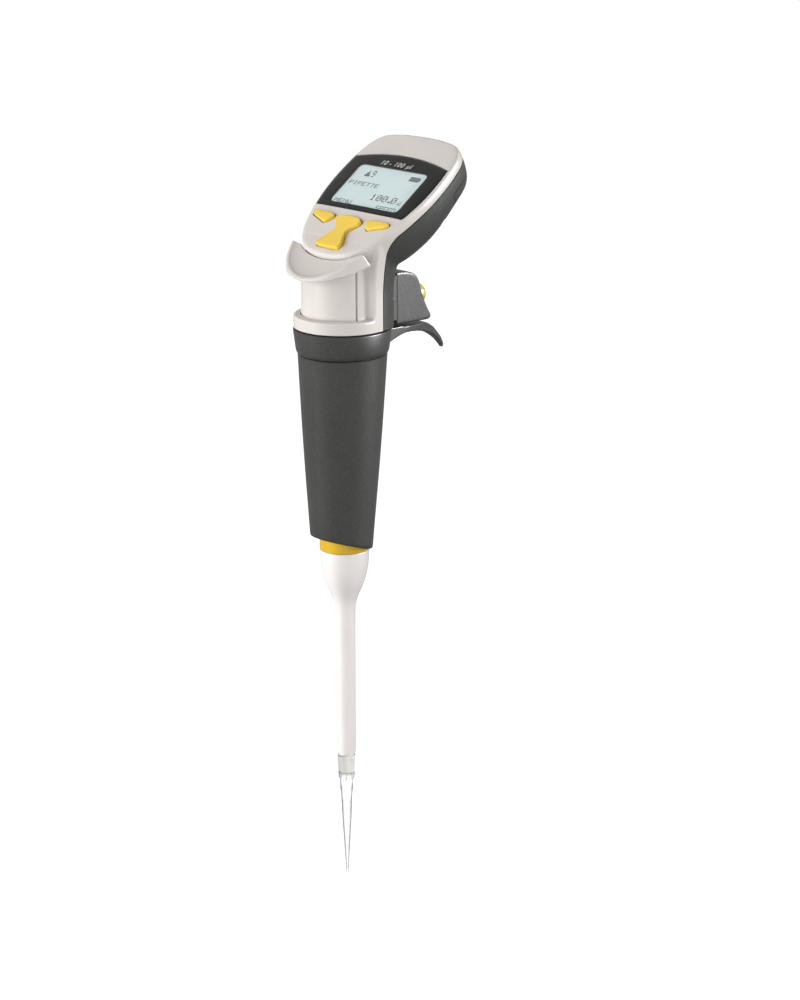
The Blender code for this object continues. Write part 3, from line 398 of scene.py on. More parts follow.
@dataclass(frozen=True)
class TurnedMetal:
    """Turned or ground metal with fine rings round the part's axis and light tarnish."""

    name: str
    colour: Colour
    dull: Colour
    roughness: float
    ring: float = 0.12 * MM

    def material(self) -> Material:
        """Builds the material.

        Returns:
            The material.
        """
        graph = Graph(self.name)
        rings = graph.noise(self.ring, 2.0, graph.placed((0.05, 0.05, 1.0)))
        stain = graph.noise(4 * MM, 4.0).clipped(0.45, 0.75)
        return graph.surface(
            Base_Color=graph.mix(stain * 0.7 + rings * 0.2, rgba(self.colour), rgba(self.dull)),
            Metallic=1.0 - stain * 0.08, Roughness=self.roughness + (rings - 0.5) * 0.18 + stain * 0.12,
            Normal=graph.bump(rings, 0.006 * MM),
        )


@dataclass(frozen=True)
class SoftRubber:
    """Matte rubber with mould bloom."""

    name: str
    colour: Colour
    bloom: Colour

    def material(self) -> Material:
        """Builds the material.

        Returns:
            The material.
        """
        graph = Graph(self.name)
        patches = graph.noise(3 * MM, 4.0).clipped(0.4, 0.75)
        grit = graph.noise(0.2 * MM, 2.0)
        return graph.surface(
            Base_Color=graph.mix(patches * 0.6 + grit * 0.2, rgba(self.colour), rgba(self.bloom)),
            Roughness=0.72 + patches * 0.15, Normal=graph.bump(grit, 0.015 * MM),
        )


@dataclass(frozen=True)
class CircuitBoard:
    """Green solder mask with copper tracks under it and a few bright pads."""

    name: str
    mask: Colour = (0.02, 0.16, 0.07)
    track: Colour = (0.05, 0.3, 0.12)
    pad: Colour = (0.75, 0.7, 0.5)

    def material(self) -> Material:
        """Builds the material.

        Returns:
            The material.
        """
        graph = Graph(self.name)
        paths = {"Vector": graph.where, "Scale": 1 / (3 * MM)}
        cells = graph.node("ShaderNodeTexVoronoi", {"feature": "DISTANCE_TO_EDGE"}, paths)
        tracks = 1.0 - Value(graph, cells.outputs["Distance"]).clipped(0.05, 0.1)
        dots = graph.node("ShaderNodeTexVoronoi", {}, {"Vector": graph.where, "Scale": 1 / (2.6 * MM)})
        pads = 1.0 - Value(graph, dots.outputs["Distance"]).clipped(0.16, 0.2)
        base = graph.mix(pads, graph.mix(tracks, rgba(self.mask), rgba(self.track)), rgba(self.pad))
        return graph.surface(
            Base_Color=base, Metallic=pads * 0.8, Roughness=0.42 - pads * 0.12,
            Normal=graph.bump(tracks + pads, 0.03 * MM),
        )


@dataclass(frozen=True)
class FoilWrap:
    """The shrink wrap of a battery: a coloured film with wrinkles and a paler band."""

    name: str
    colour: Colour
    band: Colour

    def material(self) -> Material:
        """Builds the material.

        Returns:
            The material.
        """
        graph = Graph(self.name)
        creases = graph.noise(2.2 * MM, 4.0, graph.placed((1.0, 0.3, 1.0)))
        split = graph.node("ShaderNodeSeparateXYZ", {}, {"Vector": graph.where})
        across = abs(Value(graph, split.outputs["X"]))
        band = across.clipped(11 * MM, 11.2 * MM)
        film = graph.mix(creases * 0.4, rgba(self.colour), (0.02, 0.05, 0.13, 1))
        return graph.surface(
            Base_Color=graph.mix(band, film, rgba(self.band)),
            Roughness=0.3 + creases * 0.2, Normal=graph.bump(creases, 0.12 * MM),
        )


@dataclass(frozen=True)
class DisplayGlass:
    """A reflective liquid-crystal panel: grey-green, darker towards its sides and unevenly tinted, with a
    faint cell grid and a faint painted glow.
    """

    name: str
    colour: Colour
    edge: Colour
    cell: float = 0.42 * MM

    def material(self) -> Material:
        """Builds the material.

        Returns:
            The material.
        """
        graph = Graph(self.name)
        split = graph.node("ShaderNodeSeparateXYZ", {}, {"Vector": graph.where})
        across = Value(graph, split.outputs["X"])
        uneven = graph.noise(22 * MM, 1.0).clipped(0.3, 0.7)
        stripes = graph.maths("PINGPONG", across, self.cell / 2) * (2 / self.cell)
        rim = abs(across).clipped(13 * MM, 18.5 * MM) * 0.35 + uneven * 0.25
        base = graph.mix(rim, rgba(self.colour), rgba(self.edge))
        return graph.surface(
            Base_Color=base, Roughness=0.34 + stripes.clipped(0.0, 0.15) * 0.06,
            # The emission is a faint painted glow in the panel's own colour; the reflective panel is no lamp.
            Emission_Color=base, Emission_Strength=0.06,
            Normal=graph.bump(stripes.clipped(0.0, 0.12), 0.004 * MM),
        )


@dataclass(frozen=True)
class PrintedInk:
    """Screen-printed ink with slightly thin patches."""

    name: str
    colour: Colour
    thin: Colour
    roughness: float = 0.5

    def material(self) -> Material:
        """Builds the material.

        Returns:
            The material.
        """
        graph = Graph(self.name)
        patches = graph.noise(0.6 * MM, 3.0).clipped(0.45, 0.8)
        return graph.surface(
            Base_Color=graph.mix(patches * 0.4, rgba(self.colour), rgba(self.thin)),
            Roughness=self.roughness + patches * 0.15, Normal=graph.bump(patches, 0.004 * MM),
        )


@dataclass(frozen=True)
class PaleSheet:
    """The plain pale surface below and behind the pipette."""

    name: str = "studio_sheet"
    glow: float = 0.74

    def material(self) -> Material:
        """Builds the material.

        Returns:
            The material.
        """
        graph = Graph(self.name)
        weave = graph.noise(40 * MM, 2.0)
        return graph.surface(
            Base_Color=graph.mix(weave * 0.15, (0.55, 0.55, 0.545, 1), (0.5, 0.5, 0.5, 1)),
            Roughness=0.9 - weave * 0.05,
            Emission_Color=(1.0, 1.0, 0.995, 1.0), Emission_Strength=self.glow,
        )


LIGHT = MouldedPlastic("warm_grey_abs", (0.64, 0.60, 0.57), (0.58, 0.54, 0.51), 0.40, grain_depth=0.006 * MM)
DARK = MouldedPlastic(
    "charcoal_grain", (0.053, 0.055, 0.051), (0.036, 0.038, 0.035), 0.33,
    grain=0.42 * MM, grain_depth=0.03 * MM, flecks=1.3, scuffs=0.04,
)
YELLOW = MouldedPlastic("key_yellow", (0.84, 0.585, 0.085), (0.78, 0.52, 0.06), 0.36, grain_depth=0.005 * MM)
GOLD = MouldedPlastic("ring_yellow", (0.68, 0.44, 0.018), (0.58, 0.35, 0.01), 0.38, grain_depth=0.005 * MM)
LIME = MouldedPlastic("trigger_yellow", (0.66, 0.57, 0.06), (0.55, 0.46, 0.03), 0.36, grain_depth=0.005 * MM)
WHITE = MouldedPlastic("sleeve_white", (0.80, 0.765, 0.745), (0.74, 0.70, 0.68), 0.36, grain_depth=0.005 * MM)
INNER = MouldedPlastic("inner_moulding", (0.11, 0.11, 0.115), (0.08, 0.08, 0.085), 0.5)
BLACK_LENS = GlossLens("black_lens", (0.010, 0.010, 0.009))
CLEAR_PANE = ClearPlastic(
    "clear_pane", (0.9, 0.95, 0.95), (0.8, 0.86, 0.86), 0.0, 0.05, alpha=0.10, flow=0.001 * MM
)
CLEAR_TIP = ClearPlastic(
    "clear_tip", (0.94, 0.94, 0.935), (0.93, 0.93, 0.92), 0.9, 0.09,
    flow=0.004 * MM, frost=(-169.4 * MM, -162.8 * MM),
)
OXIDE = TurnedMetal("black_oxide", (0.07, 0.07, 0.072), (0.03, 0.03, 0.03), 0.4)
STEEL = TurnedMetal("ground_steel", (0.62, 0.62, 0.63), (0.42, 0.41, 0.4), 0.26)
BRASS = TurnedMetal("turned_brass", (0.74, 0.56, 0.26), (0.45, 0.33, 0.15), 0.3)
RUBBER = SoftRubber("seal_rubber", (0.02, 0.02, 0.02), (0.06, 0.06, 0.06))
BOARD = CircuitBoard("circuit_board")
WRAP = FoilWrap("cell_wrap", (0.06, 0.14, 0.32), (0.75, 0.76, 0.78))
PANEL = DisplayGlass("display_panel", (0.56, 0.67, 0.67), (0.42, 0.53, 0.54))
SEGMENT = PrintedInk("display_dots", (0.022, 0.028, 0.05), (0.05, 0.06, 0.085), 0.4)
PALE_INK = PrintedInk("pale_print", (0.62, 0.62, 0.60), (0.4, 0.4, 0.39))

_made: dict[str, Material] = {}


def material_of(finish: object) -> Material:
    """The one material of a finish.

    Args:
        finish: Any of the finish classes' values.

    Returns:
        Its material, made on first use.
    """
    name = getattr(finish, "name")
    if name not in _made:
        _made[name] = getattr(finish, "material")()
    return _made[name]


# ---------------------------------------------------------------- mesh helpers

def new_object(name: str, mesh: bpy.types.Mesh) -> Piece:
    """Links a mesh into the scene as an object at the origin.

    Args:
        name: The object's name.
        mesh: Its mesh.

    Returns:
        The object.
    """
    obj = bpy.data.objects.new(name, mesh)
    bpy.context.scene.collection.objects.link(obj)
    return obj


def from_bmesh(name: str, bm: bmesh.types.BMesh, at: Matrix | None = None) -> Piece:
    """Turns a bmesh into an object, with its faces outward and its place in its mesh.

    Args:
        name: The object's name.
        bm: The faces. They are used up.
        at: The frame that places it, or none.

    Returns:
        The object.
    """
    if at:
        bm.transform(at)
    bmesh.ops.remove_doubles(bm, verts=bm.verts, dist=WELD)
    bmesh.ops.recalc_face_normals(bm, faces=bm.faces)
    mesh = bpy.data.meshes.new(name)
    bm.to_mesh(mesh)
    bm.free()
    return new_object(name, mesh)


def skin(
    name: str, rings: Sequence[Sequence[Point3]], closed: bool = False, mirrored_end: bool = False
) -> Piece:
    """A surface through rings of the same number of points.

    Args:
        name: The object's name.
        rings: The rings, in order.
        closed: Whether the last ring joins the first, as on a turned wall, or both ends are capped.
        mirrored_end: Whether the last cap is made of strips between the ring's mirrored halves.

    Returns:
        The object.
    """
    bm = bmesh.new()
    rows = [[bm.verts.new(point) for point in ring] for ring in rings]
    count = len(rings[0])
    pairs = list(zip(rows, rows[1:])) + ([(rows[-1], rows[0])] if closed else [])
    for lower, upper in pairs:
        for i in range(count):
            j = (i + 1) % count
            bm.faces.new((lower[i], lower[j], upper[j], upper[i]))
    if not closed:
        bm.faces.new(list(reversed(rows[0])))
        last = rows[-1]
        if mirrored_end:
            for i in range(count // 2):
                corners = (last[i], last[i + 1], last[count - i - 1], last[(count - i) % count])
                bm.faces.new(list(dict.fromkeys(corners)))
        else:
            bm.faces.new(last)
    return from_bmesh(name, bm)


def turned(name: str, profile: Sequence[Point2], steps: int = 128, centre: Point2 = (0, 0)) -> Piece:
    """A closed turned wall from a profile of (radius, height).

    Args:
        name: The object's name.
        profile: The (radius, height) points round the wall.
        steps: How many sides it has.
        centre: Where its axis stands.

    Returns:
        The wall.
    """
    rings = []
    for radius, height in profile:
        rings.append([
            (centre[0] + radius * math.cos(2 * math.pi * i / steps),
             centre[1] + radius * math.sin(2 * math.pi * i / steps), height)
            for i in range(steps)
        ])
    return skin(name, rings, closed=True)


def rod(
    name: str, radius: float, low: float, high: float, sides: int = 64, at: Matrix | None = None
) -> Piece:
    """A cylinder along the local Z of a frame.

    Args:
        name: The object's name.
        radius: Its radius.
        low: Its lower end.
        high: Its upper end.
        sides: How many sides it has.
        at: The frame that places it, or none.

    Returns:
        The cylinder.
    """
    bm = bmesh.new()
    bmesh.ops.create_cone(bm, cap_ends=True, segments=sides, radius1=radius, radius2=radius, depth=high - low)
    bmesh.ops.translate(bm, verts=bm.verts, vec=(0, 0, (low + high) / 2))
    return from_bmesh(name, bm, at)


def block(name: str, low: Point3, high: Point3, at: Matrix | None = None) -> Piece:
    """A box between two corners of a frame.

    Args:
        name: The object's name.
        low: The lowest corner.
        high: The highest corner.
        at: The frame that places it, or none.

    Returns:
        The box.
    """
    bm = bmesh.new()
    bmesh.ops.create_cube(bm, size=1.0)
    size = Vector(high) - Vector(low)
    bm.transform(Matrix.Translation((Vector(low) + Vector(high)) / 2) @ Matrix.Diagonal((*size, 1)))
    return from_bmesh(name, bm, at)


def ball(name: str, radii: Point3, at: Matrix) -> Piece:
    """An ellipsoid at the middle of a frame.

    Args:
        name: The object's name.
        radii: Its three radii.
        at: The frame.

    Returns:
        The ellipsoid.
    """
    bm = bmesh.new()
    bmesh.ops.create_uvsphere(bm, u_segments=96, v_segments=48, radius=1.0)
    bm.transform(Matrix.Diagonal((*radii, 1)))
    return from_bmesh(name, bm, at)


def prism(name: str, outline: Sequence[Point2], low: float, high: float, at: Matrix | None = None) -> Piece:
    """A flat outline pushed along the local Z from low to high.

    Args:
        name: The object's name.
        outline: Its points, counter-clockwise.
        low: Where it starts.
        high: Where it ends.
        at: The frame that places it, or none.

    Returns:
        The prism.
    """
    bm = bmesh.new()
    lower = [bm.verts.new((p[0], p[1], low)) for p in outline]
    upper = [bm.verts.new((p[0], p[1], high)) for p in outline]
    count = len(outline)
    for i in range(count):
        j = (i + 1) % count
        bm.faces.new((lower[i], lower[j], upper[j], upper[i]))
    bm.faces.new(list(reversed(lower)))
    bm.faces.new(upper)
    return from_bmesh(name, bm, at)


SIDE = Matrix.Rotation(math.pi / 2, 4, "Z") @ Matrix.Rotation(math.pi / 2, 4, "X")


def side_prism(name: str, outline: Sequence[Point2], half_width: float) -> Piece:
    """A side view of (y, z) points, pushed across the pipette."""
    return prism(name, outline, -half_width, half_width, SIDE)


def settled(obj: Piece) -> Piece:
    """Makes an object's modifiers part of its mesh.

    Args:
        obj: The object.

    Returns:
        The same object.
    """
    bpy.context.view_layer.update()
    graph = bpy.context.evaluated_depsgraph_get()
    mesh = bpy.data.meshes.new_from_object(obj.evaluated_get(graph))
    obj.modifiers.clear()
    obj.data = mesh
    return obj


def carve(target: Piece, how: Cut, *others: Piece, keep: bool = False) -> Piece:
    """Joins, removes or keeps the share of other solids.

    Args:
        target: The solid that changes.
        how: What the others do to it.
        others: The solids that act on it.
        keep: Whether they stay for another use.

    Returns:
        The changed solid.
    """
    for other in others:
        step = target.modifiers.new("carve", "BOOLEAN")
        step.operation = how.value
        step.object = other
        step.solver = "MANIFOLD"
        settled(target)
        if not keep:
            bpy.data.objects.remove(other)
    return target


def copy_of(name: str, obj: Piece) -> Piece:
    """A copy with its own mesh.

    Args:
        name: The copy's name.
        obj: The object to copy.

    Returns:
        The copy.
    """
    mesh = obj.data.copy()
    mesh.name = name
    return new_object(name, mesh)


def remeshed(obj: Piece, grain: float) -> Piece:
    """Gives a solid an even mesh of small squares.

    Args:
        obj: The object.
        grain: The squares' size.

    Returns:
        The same object.
    """
    step = obj.modifiers.new("even", "REMESH")
    step.mode = "VOXEL"
    step.voxel_size = grain
    return settled(obj)


def points_of(obj: Piece) -> np.ndarray:
    """A mesh's points, one row each.

    Args:
        obj: The object.

    Returns:
        The points.
    """
    co = np.empty(len(obj.data.vertices) * 3, np.float64)
    obj.data.vertices.foreach_get("co", co)
    return co.reshape(-1, 3)


def set_points(obj: Piece, co: np.ndarray) -> None:
    """Writes a mesh's points back."""
    obj.data.vertices.foreach_set("co", co.astype(np.float32).ravel())
    obj.data.update()


def relaxed(obj: Piece, rounds: int, weight: Callable[[np.ndarray], np.ndarray] | None = None) -> Piece:
    """Softens edges by moving each point towards its neighbours.

    Args:
        obj: The object.
        rounds: How many times.
        weight: How much each point moves, from 0 to 1, worked out from the points.

    Returns:
        The same object.
    """
    co = points_of(obj)
    edges = np.empty(len(obj.data.edges) * 2, np.int64)
    obj.data.edges.foreach_get("vertices", edges)
    first, second = edges.reshape(-1, 2).T
    count = np.bincount(edges, minlength=len(co))[:, None]
    share = np.ones((len(co), 1)) if weight is None else weight(co)[:, None]
    for _ in range(rounds):
        for pull in SOFTENING:
            total = np.empty_like(co)
            for axis in range(3):
                total[:, axis] = np.bincount(first, co[second, axis], len(co)) + np.bincount(
                    second, co[first, axis], len(co))
            co = co + share * pull * (total / count - co)
    set_points(obj, co)
    return obj


def smooth(obj: Piece, degrees: float = 32) -> Piece:
    """Shades an object smooth, with sharp edges kept.

    Args:
        obj: The object.
        degrees: The angle from which an edge is sharp.

    Returns:
        The same object.
    """
    obj.data.shade_smooth()
    obj.data.set_sharp_from_angle(angle=math.radians(degrees))
    return obj


def through(points: Sequence[Point2], per_span: int, closed: bool = False) -> list[Vector]:
    """A Catmull-Rom line through the points.

    Args:
        points: The points, in order.
        per_span: How many steps lie between two points.
        closed: Whether it runs back to the first one.

    Returns:
        The line's points.
    """
    count = len(points)
    line = []
    for k in range(count if closed else count - 1):
        places = [(k + d) % count if closed else min(max(k + d, 0), count - 1) for d in (-1, 0, 1, 2)]
        before, start, end, after = (Vector(points[i]) for i in places)
        for step in range(per_span):
            t = step / per_span
            line.append(
                0.5 * (2 * start + (end - before) * t + (2 * before - 5 * start + 4 * end - after) * t * t
                       + (3 * start - before - 3 * end + after) * t ** 3)
            )
    if not closed:
        line.append(Vector(points[-1]))
    return line


def scaled(points: Sequence[Point2]) -> list[tuple[float, float]]:
    """Plane points that are written in millimetres, in metres."""
    return [(point[0] * MM, point[1] * MM) for point in points]


def inset(outline: Sequence[Vector], distance: float) -> list[Vector]:
    """A counter-clockwise outline moved inwards.

    Args:
        outline: Its points, counter-clockwise.
        distance: How far, or outwards below nought.

    Returns:
        The moved outline.
    """
    count = len(outline)
    moved = []
    for i, point in enumerate(outline):
        along = (outline[(i + 1) % count] - outline[i - 1]).normalized()
        moved.append(point + Vector((-along.y, along.x)) * distance)
    return moved


def ease(value: np.ndarray | float, low: float, high: float) -> np.ndarray | float:
    """A smooth step from 0 at low to 1 at high."""
    t = np.clip((value - low) / (high - low), 0, 1)
    return t * t * (3 - 2 * t)


def finish_piece(
    obj: Piece, finish: object, body: Body, nodes: Iterable[str] = ()
) -> Piece:
    """Dresses a piece and hangs it on its body.

    Args:
        obj: The piece.
        finish: Its finish.
        body: The body that it rides on.
        nodes: The CAD nodes that it stands for.

    Returns:
        The same piece.
    """
    obj.data.materials.clear()
    obj.data.materials.append(material_of(finish))
    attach(obj, body.value)
    names = list(nodes)
    if names:
        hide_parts(*names)
    LOG.info("%s: %d faces on %s", obj.name, len(obj.data.polygons), body.value)
    return obj


# ---------------------------------------------------------------- geometry nodes

class Pattern:
    """A Geometry Nodes tree with named sizes, used to make one plain mesh."""

    def __init__(self, name: str, sizes: dict[str, float]) -> None:
        """Starts a tree.

        Args:
            name: The tree's name.
            sizes: Its named inputs and their values.
        """
        self.tree = bpy.data.node_groups.new(name, "GeometryNodeTree")
        self.sizes = sizes
        face = self.tree.interface
        face.new_socket("Geometry", in_out="INPUT", socket_type="NodeSocketGeometry")
        for key in sizes:
            face.new_socket(key, in_out="INPUT", socket_type="NodeSocketFloat")
        face.new_socket("Geometry", in_out="OUTPUT", socket_type="NodeSocketGeometry")
        self.start = self.tree.nodes.new("NodeGroupInput")
        self.end = self.tree.nodes.new("NodeGroupOutput")

    def node(self, kind: str, settings: dict[str, object], inputs: dict[object, object]) -> Node:
        """Adds a node, with its properties and the values or links of its sockets."""
        return add_node(self.tree, kind, settings, inputs)

    def size(self, name: str) -> Socket:
        """The socket of a named input."""
        return self.start.outputs[name]

    def attribute(self, name: str) -> Socket:
        """A vector that each point carries."""
        kind = {"data_type": "FLOAT_VECTOR"}
        return self.node("GeometryNodeInputNamedAttribute", kind, {"Name": name}).outputs["Attribute"]

    def made(self, name: str, carrier: Piece, result: Socket, finish: object) -> Piece:
        """Ends the tree and turns its result into a plain mesh.

        Args:
            name: The piece's name.
            carrier: The object whose mesh feeds the tree. It is used up.
            result: The geometry to keep.
            finish: The piece's finish.

        Returns:
            The piece.
        """
        real = self.node("GeometryNodeRealizeInstances", {}, {"Geometry": result})
        dress = self.node("GeometryNodeSetMaterial", {}, {
            "Geometry": real.outputs["Geometry"], "Material": material_of(finish)})
        self.tree.links.new(dress.outputs["Geometry"], self.end.inputs["Geometry"])
        step = carrier.modifiers.new("pattern", "NODES")
        step.node_group = self.tree
        for item in self.tree.interface.items_tree:
            if item.item_type == "SOCKET" and item.in_out == "INPUT" and item.name in self.sizes:
                step[item.identifier] = self.sizes[item.name]
        bpy.context.view_layer.update()
        graph = bpy.context.evaluated_depsgraph_get()
        mesh = bpy.data.meshes.new_from_object(carrier.evaluated_get(graph))
        mesh.name = name
        bpy.data.objects.remove(carrier)
        return new_object(name, mesh)


def point_cloud(name: str, places: Sequence[Point3]) -> Piece:
    """An object that is only points.

    Args:
        name: The object's name.
        places: The points.

    Returns:
        The object.
    """
    mesh = bpy.data.meshes.new(name)
    mesh.from_pydata([tuple(place) for place in places], [], [])
    return new_object(name, mesh)


def spiral(pattern: Pattern, resolution: int, sides: int) -> Socket:
    """A round wire wound by the pattern's Turns, Radius, Height and Wire.

    Args:
        pattern: The tree, which has those inputs.
        resolution: How many steps a turn has.
        sides: How many sides the wire has.

    Returns:
        The wire's mesh.
    """
    helix = pattern.node("GeometryNodeCurveSpiral", {}, {
        "Resolution": resolution, "Rotations": pattern.size("Turns"), "Start Radius": pattern.size("Radius"),
        "End Radius": pattern.size("Radius"), "Height": pattern.size("Height")})
    section = pattern.node("GeometryNodeCurvePrimitiveCircle", {}, {
        "Resolution": sides, "Radius": pattern.size("Wire")})
    solid = pattern.node("GeometryNodeCurveToMesh", {}, {
        "Curve": helix.outputs[0], "Profile Curve": section.outputs[0], "Fill Caps": True})
    return solid.outputs[0]


def spring(
    name: str, radius: float, wire: float, low: float, high: float, turns: float, at: Matrix, node: str
) -> Piece:
    """A coil spring of round wire that replaces a CAD spring.

    Args:
        name: The piece's name.
        radius: The coil's middle radius.
        wire: The wire's radius.
        low: One end along the spring's axis.
        high: The other end.
        turns: How many turns it has.
        at: The frame whose Z is its axis.
        node: The CAD node that it stands for.

    Returns:
        The piece.
    """
    pattern = Pattern(name, {"Turns": turns, "Radius": radius, "Height": high - low, "Wire": wire})
    seed = point_cloud(name + "_seed", [(0, 0, 0)])
    piece = pattern.made(name, seed, spiral(pattern, 28, 10), STEEL)
    piece.data.transform(at @ Matrix.Translation((0, 0, low)))
    smooth(piece, 60)
    return finish_piece(piece, STEEL, Body.CASING, [node])


# ---------------------------------------------------------------- the head's form

@dataclass
class HeadForm:
    """The sizes of the tilted head and neck, and the solids that the covers are cut from."""

    tilt: float = math.radians(35.6)
    face_z: float = 45.5 * MM
    depth: float = 16.2 * MM
    wall: float = 1.8 * MM
    neck_radius: float = 18.3 * MM
    neck_power: float = 2 / 2.35
    ring_top: float = 14.6 * MM
    recess_y: float = -0.5 * MM
    guide_y: float = -5.2 * MM
    skirt_radius: float = 15.3 * MM
    gap: float = 0.3 * MM
    parting_depth: float = 3.6 * MM
    parting_bend: float = 9.0 * MM
    parting_y: float = 4.0 * MM
    crown: float = 0.75 * MM
    belly: float = 0.15
    half_outline: tuple[tuple[float, float], ...] = (
        (9.6, -11.2), (16.2, -7.4), (20.4, -1.4), (23.3, 5.6), (25.3, 12.6), (26.7, 21.0),
        (26.9, 30.0), (25.9, 39.0), (23.7, 45.8), (19.0, 50.2), (10.0, 51.9),
    )
    frame: Matrix = field(init=False)

    def __post_init__(self) -> None:
        """Works out the face's frame."""
        self.frame = Matrix.Translation((0, 0, self.face_z)) @ Matrix.Rotation(self.tilt, 4, "X")

    def outline(self, per_span: int = 8) -> list[Vector]:
        """The face's outline, counter-clockwise from the chin.

        Args:
            per_span: How many steps lie between two points.

        Returns:
            The outline.
        """
        right = [Vector((x * MM, y * MM)) for x, y in self.half_outline]
        left = [Vector((-p.x, p.y)) for p in reversed(right)]
        chin, top = Vector((0, -12.6 * MM)), Vector((0, 52.3 * MM))
        return through([chin, *right, top, *left], per_span, closed=True)

    def on_face(self, co: np.ndarray) -> np.ndarray:
        """Points in the face's own coordinates: across, along and out."""
        back = np.array(self.frame.inverted())
        return co @ back[:3, :3].T + back[:3, 3]

    def crown_at(self, across: np.ndarray | float, along: np.ndarray | float) -> np.ndarray | float:
        """How far the face bulges out at a place.

        Args:
            across: The place across the face.
            along: The place along it.

        Returns:
            The height.
        """
        side = np.clip(1 - (across / (26.5 * MM)) ** 2, 0, 1)
        end = np.clip(1 - ((along - 26 * MM) / (30 * MM)) ** 2, 0, 1)
        return self.crown * side * np.sqrt(end)

    def fuller(self, along: float) -> float:
        """How much deeper the head is at a place along it than its depth says."""
        return 1 + self.belly * ease(along, -4 * MM, 8 * MM) * (1 - ease(along, 14 * MM, 38 * MM))

    def paddle(self, name: str, grow: float, per_span: int = 8) -> Piece:
        """The head's solid, rounded towards its back.

        Args:
            name: The object's name.
            grow: How far it is grown, or shrunk below nought.
            per_span: How many steps lie between two points.

        Returns:
            The solid.
        """
        shape = [
            (0.0, 1.0), (-0.25, 0.4), (-0.8, 0.08), (-2.2, 0.0), (-4.0, 0.2), (-6.5, 0.5), (-9.0, 1.0),
            (-11.0, 1.6), (-12.5, 2.2), (-14.0, 3.2), (-15.2, 4.4), (-16.0, 5.7), (-16.5, 7.6),
        ]
        outline = self.outline(per_span)
        squeeze = 1.0 if grow >= 0 else 1 - 2 * self.wall / self.depth
        sink = 0.0 if grow >= 0 else -self.wall
        rings = []
        for out, step_in in shape:
            height = out * self.depth / 16.5 * squeeze
            ring = inset(outline, step_in * MM - grow)
            rings.append([self.frame @ Vector((p.x, p.y, height * self.fuller(p.y) + sink)) for p in ring])
        return skin(name, rings, mirrored_end=True)

    def neck(self, name: str, grow: float, bottom: float) -> Piece:
        """The neck's solid, which flares into the head.

        Args:
            name: The object's name.
            grow: How far it is grown, or shrunk below nought.
            bottom: The height of its lower end.

        Returns:
            The solid.
        """
        flare = [(0.0, 0.0, 22.0), (0.1, 0.2, 26.0), (0.8, 2.0, 33.0), (2.0, 6.5, 40.0), (2.6, 12.0, 47.0)]
        sections = [(0.0, 0.0, bottom / MM)] + [tuple(p) for p in through(flare, 5)]
        rings = []
        count = 160
        for wider, deeper, height in sections:
            radius = self.neck_radius + wider * MM + grow
            rear = self.neck_radius + deeper * MM + grow
            ring = []
            for i in range(count):
                angle = 2 * math.pi * i / count
                x, y = math.cos(angle), math.sin(angle)
                if y > 0:
                    squared_x = math.copysign(abs(x) ** self.neck_power, x)
                    ring.append((radius * squared_x, rear * y ** self.neck_power, height * MM))
                else:
                    ring.append((radius * x, radius * y, height * MM))
            rings.append(ring)
        return skin(name, rings)

    def above(self, name: str, out: float) -> Piece:
        """Everything further out than a plane parallel to the face."""
        return block(name, (-FAR, -FAR, out), (FAR, FAR, FAR), self.frame)

    def parting(self, shift: float) -> list[tuple[float, float]]:
        """The side view of the line between the light and the dark shell, moved back by shift.

        Args:
            shift: How far it is moved back.

        Returns:
            The line's (y, z) points, from the head's end down.
        """
        depth = self.parting_depth + shift
        bend = self.parting_bend - shift
        centre_y = self.parting_y + shift + bend
        centre_z = self.face_z + (math.sin(self.tilt) * centre_y - (depth + bend)) / math.cos(self.tilt)
        end = self.frame @ Vector((0, FAR, -depth))
        points = [(end.y, end.z)]
        steps = 24
        for i in range(steps + 1):
            angle = math.pi / 2 + self.tilt + (math.pi / 2 - self.tilt) * i / steps
            points.append((centre_y + bend * math.cos(angle), centre_z + bend * math.sin(angle)))
        points.append((self.parting_y + shift, -FAR))
        return points

    def outer(self) -> Piece:
        """The whole outer skin of head and neck, with its recess, evenly meshed and softened.

        Returns:
            The skin, as one solid.
        """
        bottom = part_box("front_cover")[0].z
        body = self.paddle("head_skin", 0)
        chin = copy_of("chin", body)
        neck = carve(self.neck("neck_skin", 0, bottom - 2 * MM), Cut.REMOVE, self.above("over_neck", -2 * MM))
        carve(body, Cut.JOIN, neck)
        recess = block("recess", (-FAR, -FAR, self.ring_top), (FAR, self.recess_y, 50 * MM))
        carve(recess, Cut.REMOVE, rod("core", self.skirt_radius - 0.1 * MM, -FAR, FAR, 160), chin)
        carve(body, Cut.REMOVE, recess)
        remeshed(body, 0.42 * MM)
        relaxed(body, 5)
        relaxed(body, 60, self._web)
        relaxed(body, 16, self._recess_edges)
        self._shape_face(body)
        foot = block("foot", (-FAR, -FAR, bottom), (FAR, FAR, FAR))
        return carve(body, Cut.KEEP, foot)

    def _web(self, co: np.ndarray) -> np.ndarray:
        """Where the neck blends into the head's underside: behind the recess, below the rim.

        Args:
            co: The points, one row each.

        Returns:
            How much each point moves.
        """
        local = self.on_face(co)
        below = ease(-local[:, 2], 5 * MM, 8 * MM)
        behind = ease(co[:, 1], 4 * MM, 8 * MM)
        near = 1 - ease(np.abs(co[:, 2] - 36 * MM), 8 * MM, 15 * MM)
        return below * behind * near

    def _recess_edges(self, co: np.ndarray) -> np.ndarray:
        """The upright corners where the recess meets the neck.

        Args:
            co: The points, one row each.

        Returns:
            How much each point moves.
        """
        near = 1 - ease(np.abs(co[:, 1] - self.recess_y), 1.6 * MM, 3.0 * MM)
        side = ease(np.abs(co[:, 0]), 12 * MM, 14 * MM)
        below = ease(-self.on_face(co)[:, 2], 2 * MM, 5 * MM)
        return near * side * below * ease(co[:, 2], 15.2 * MM, 17 * MM)

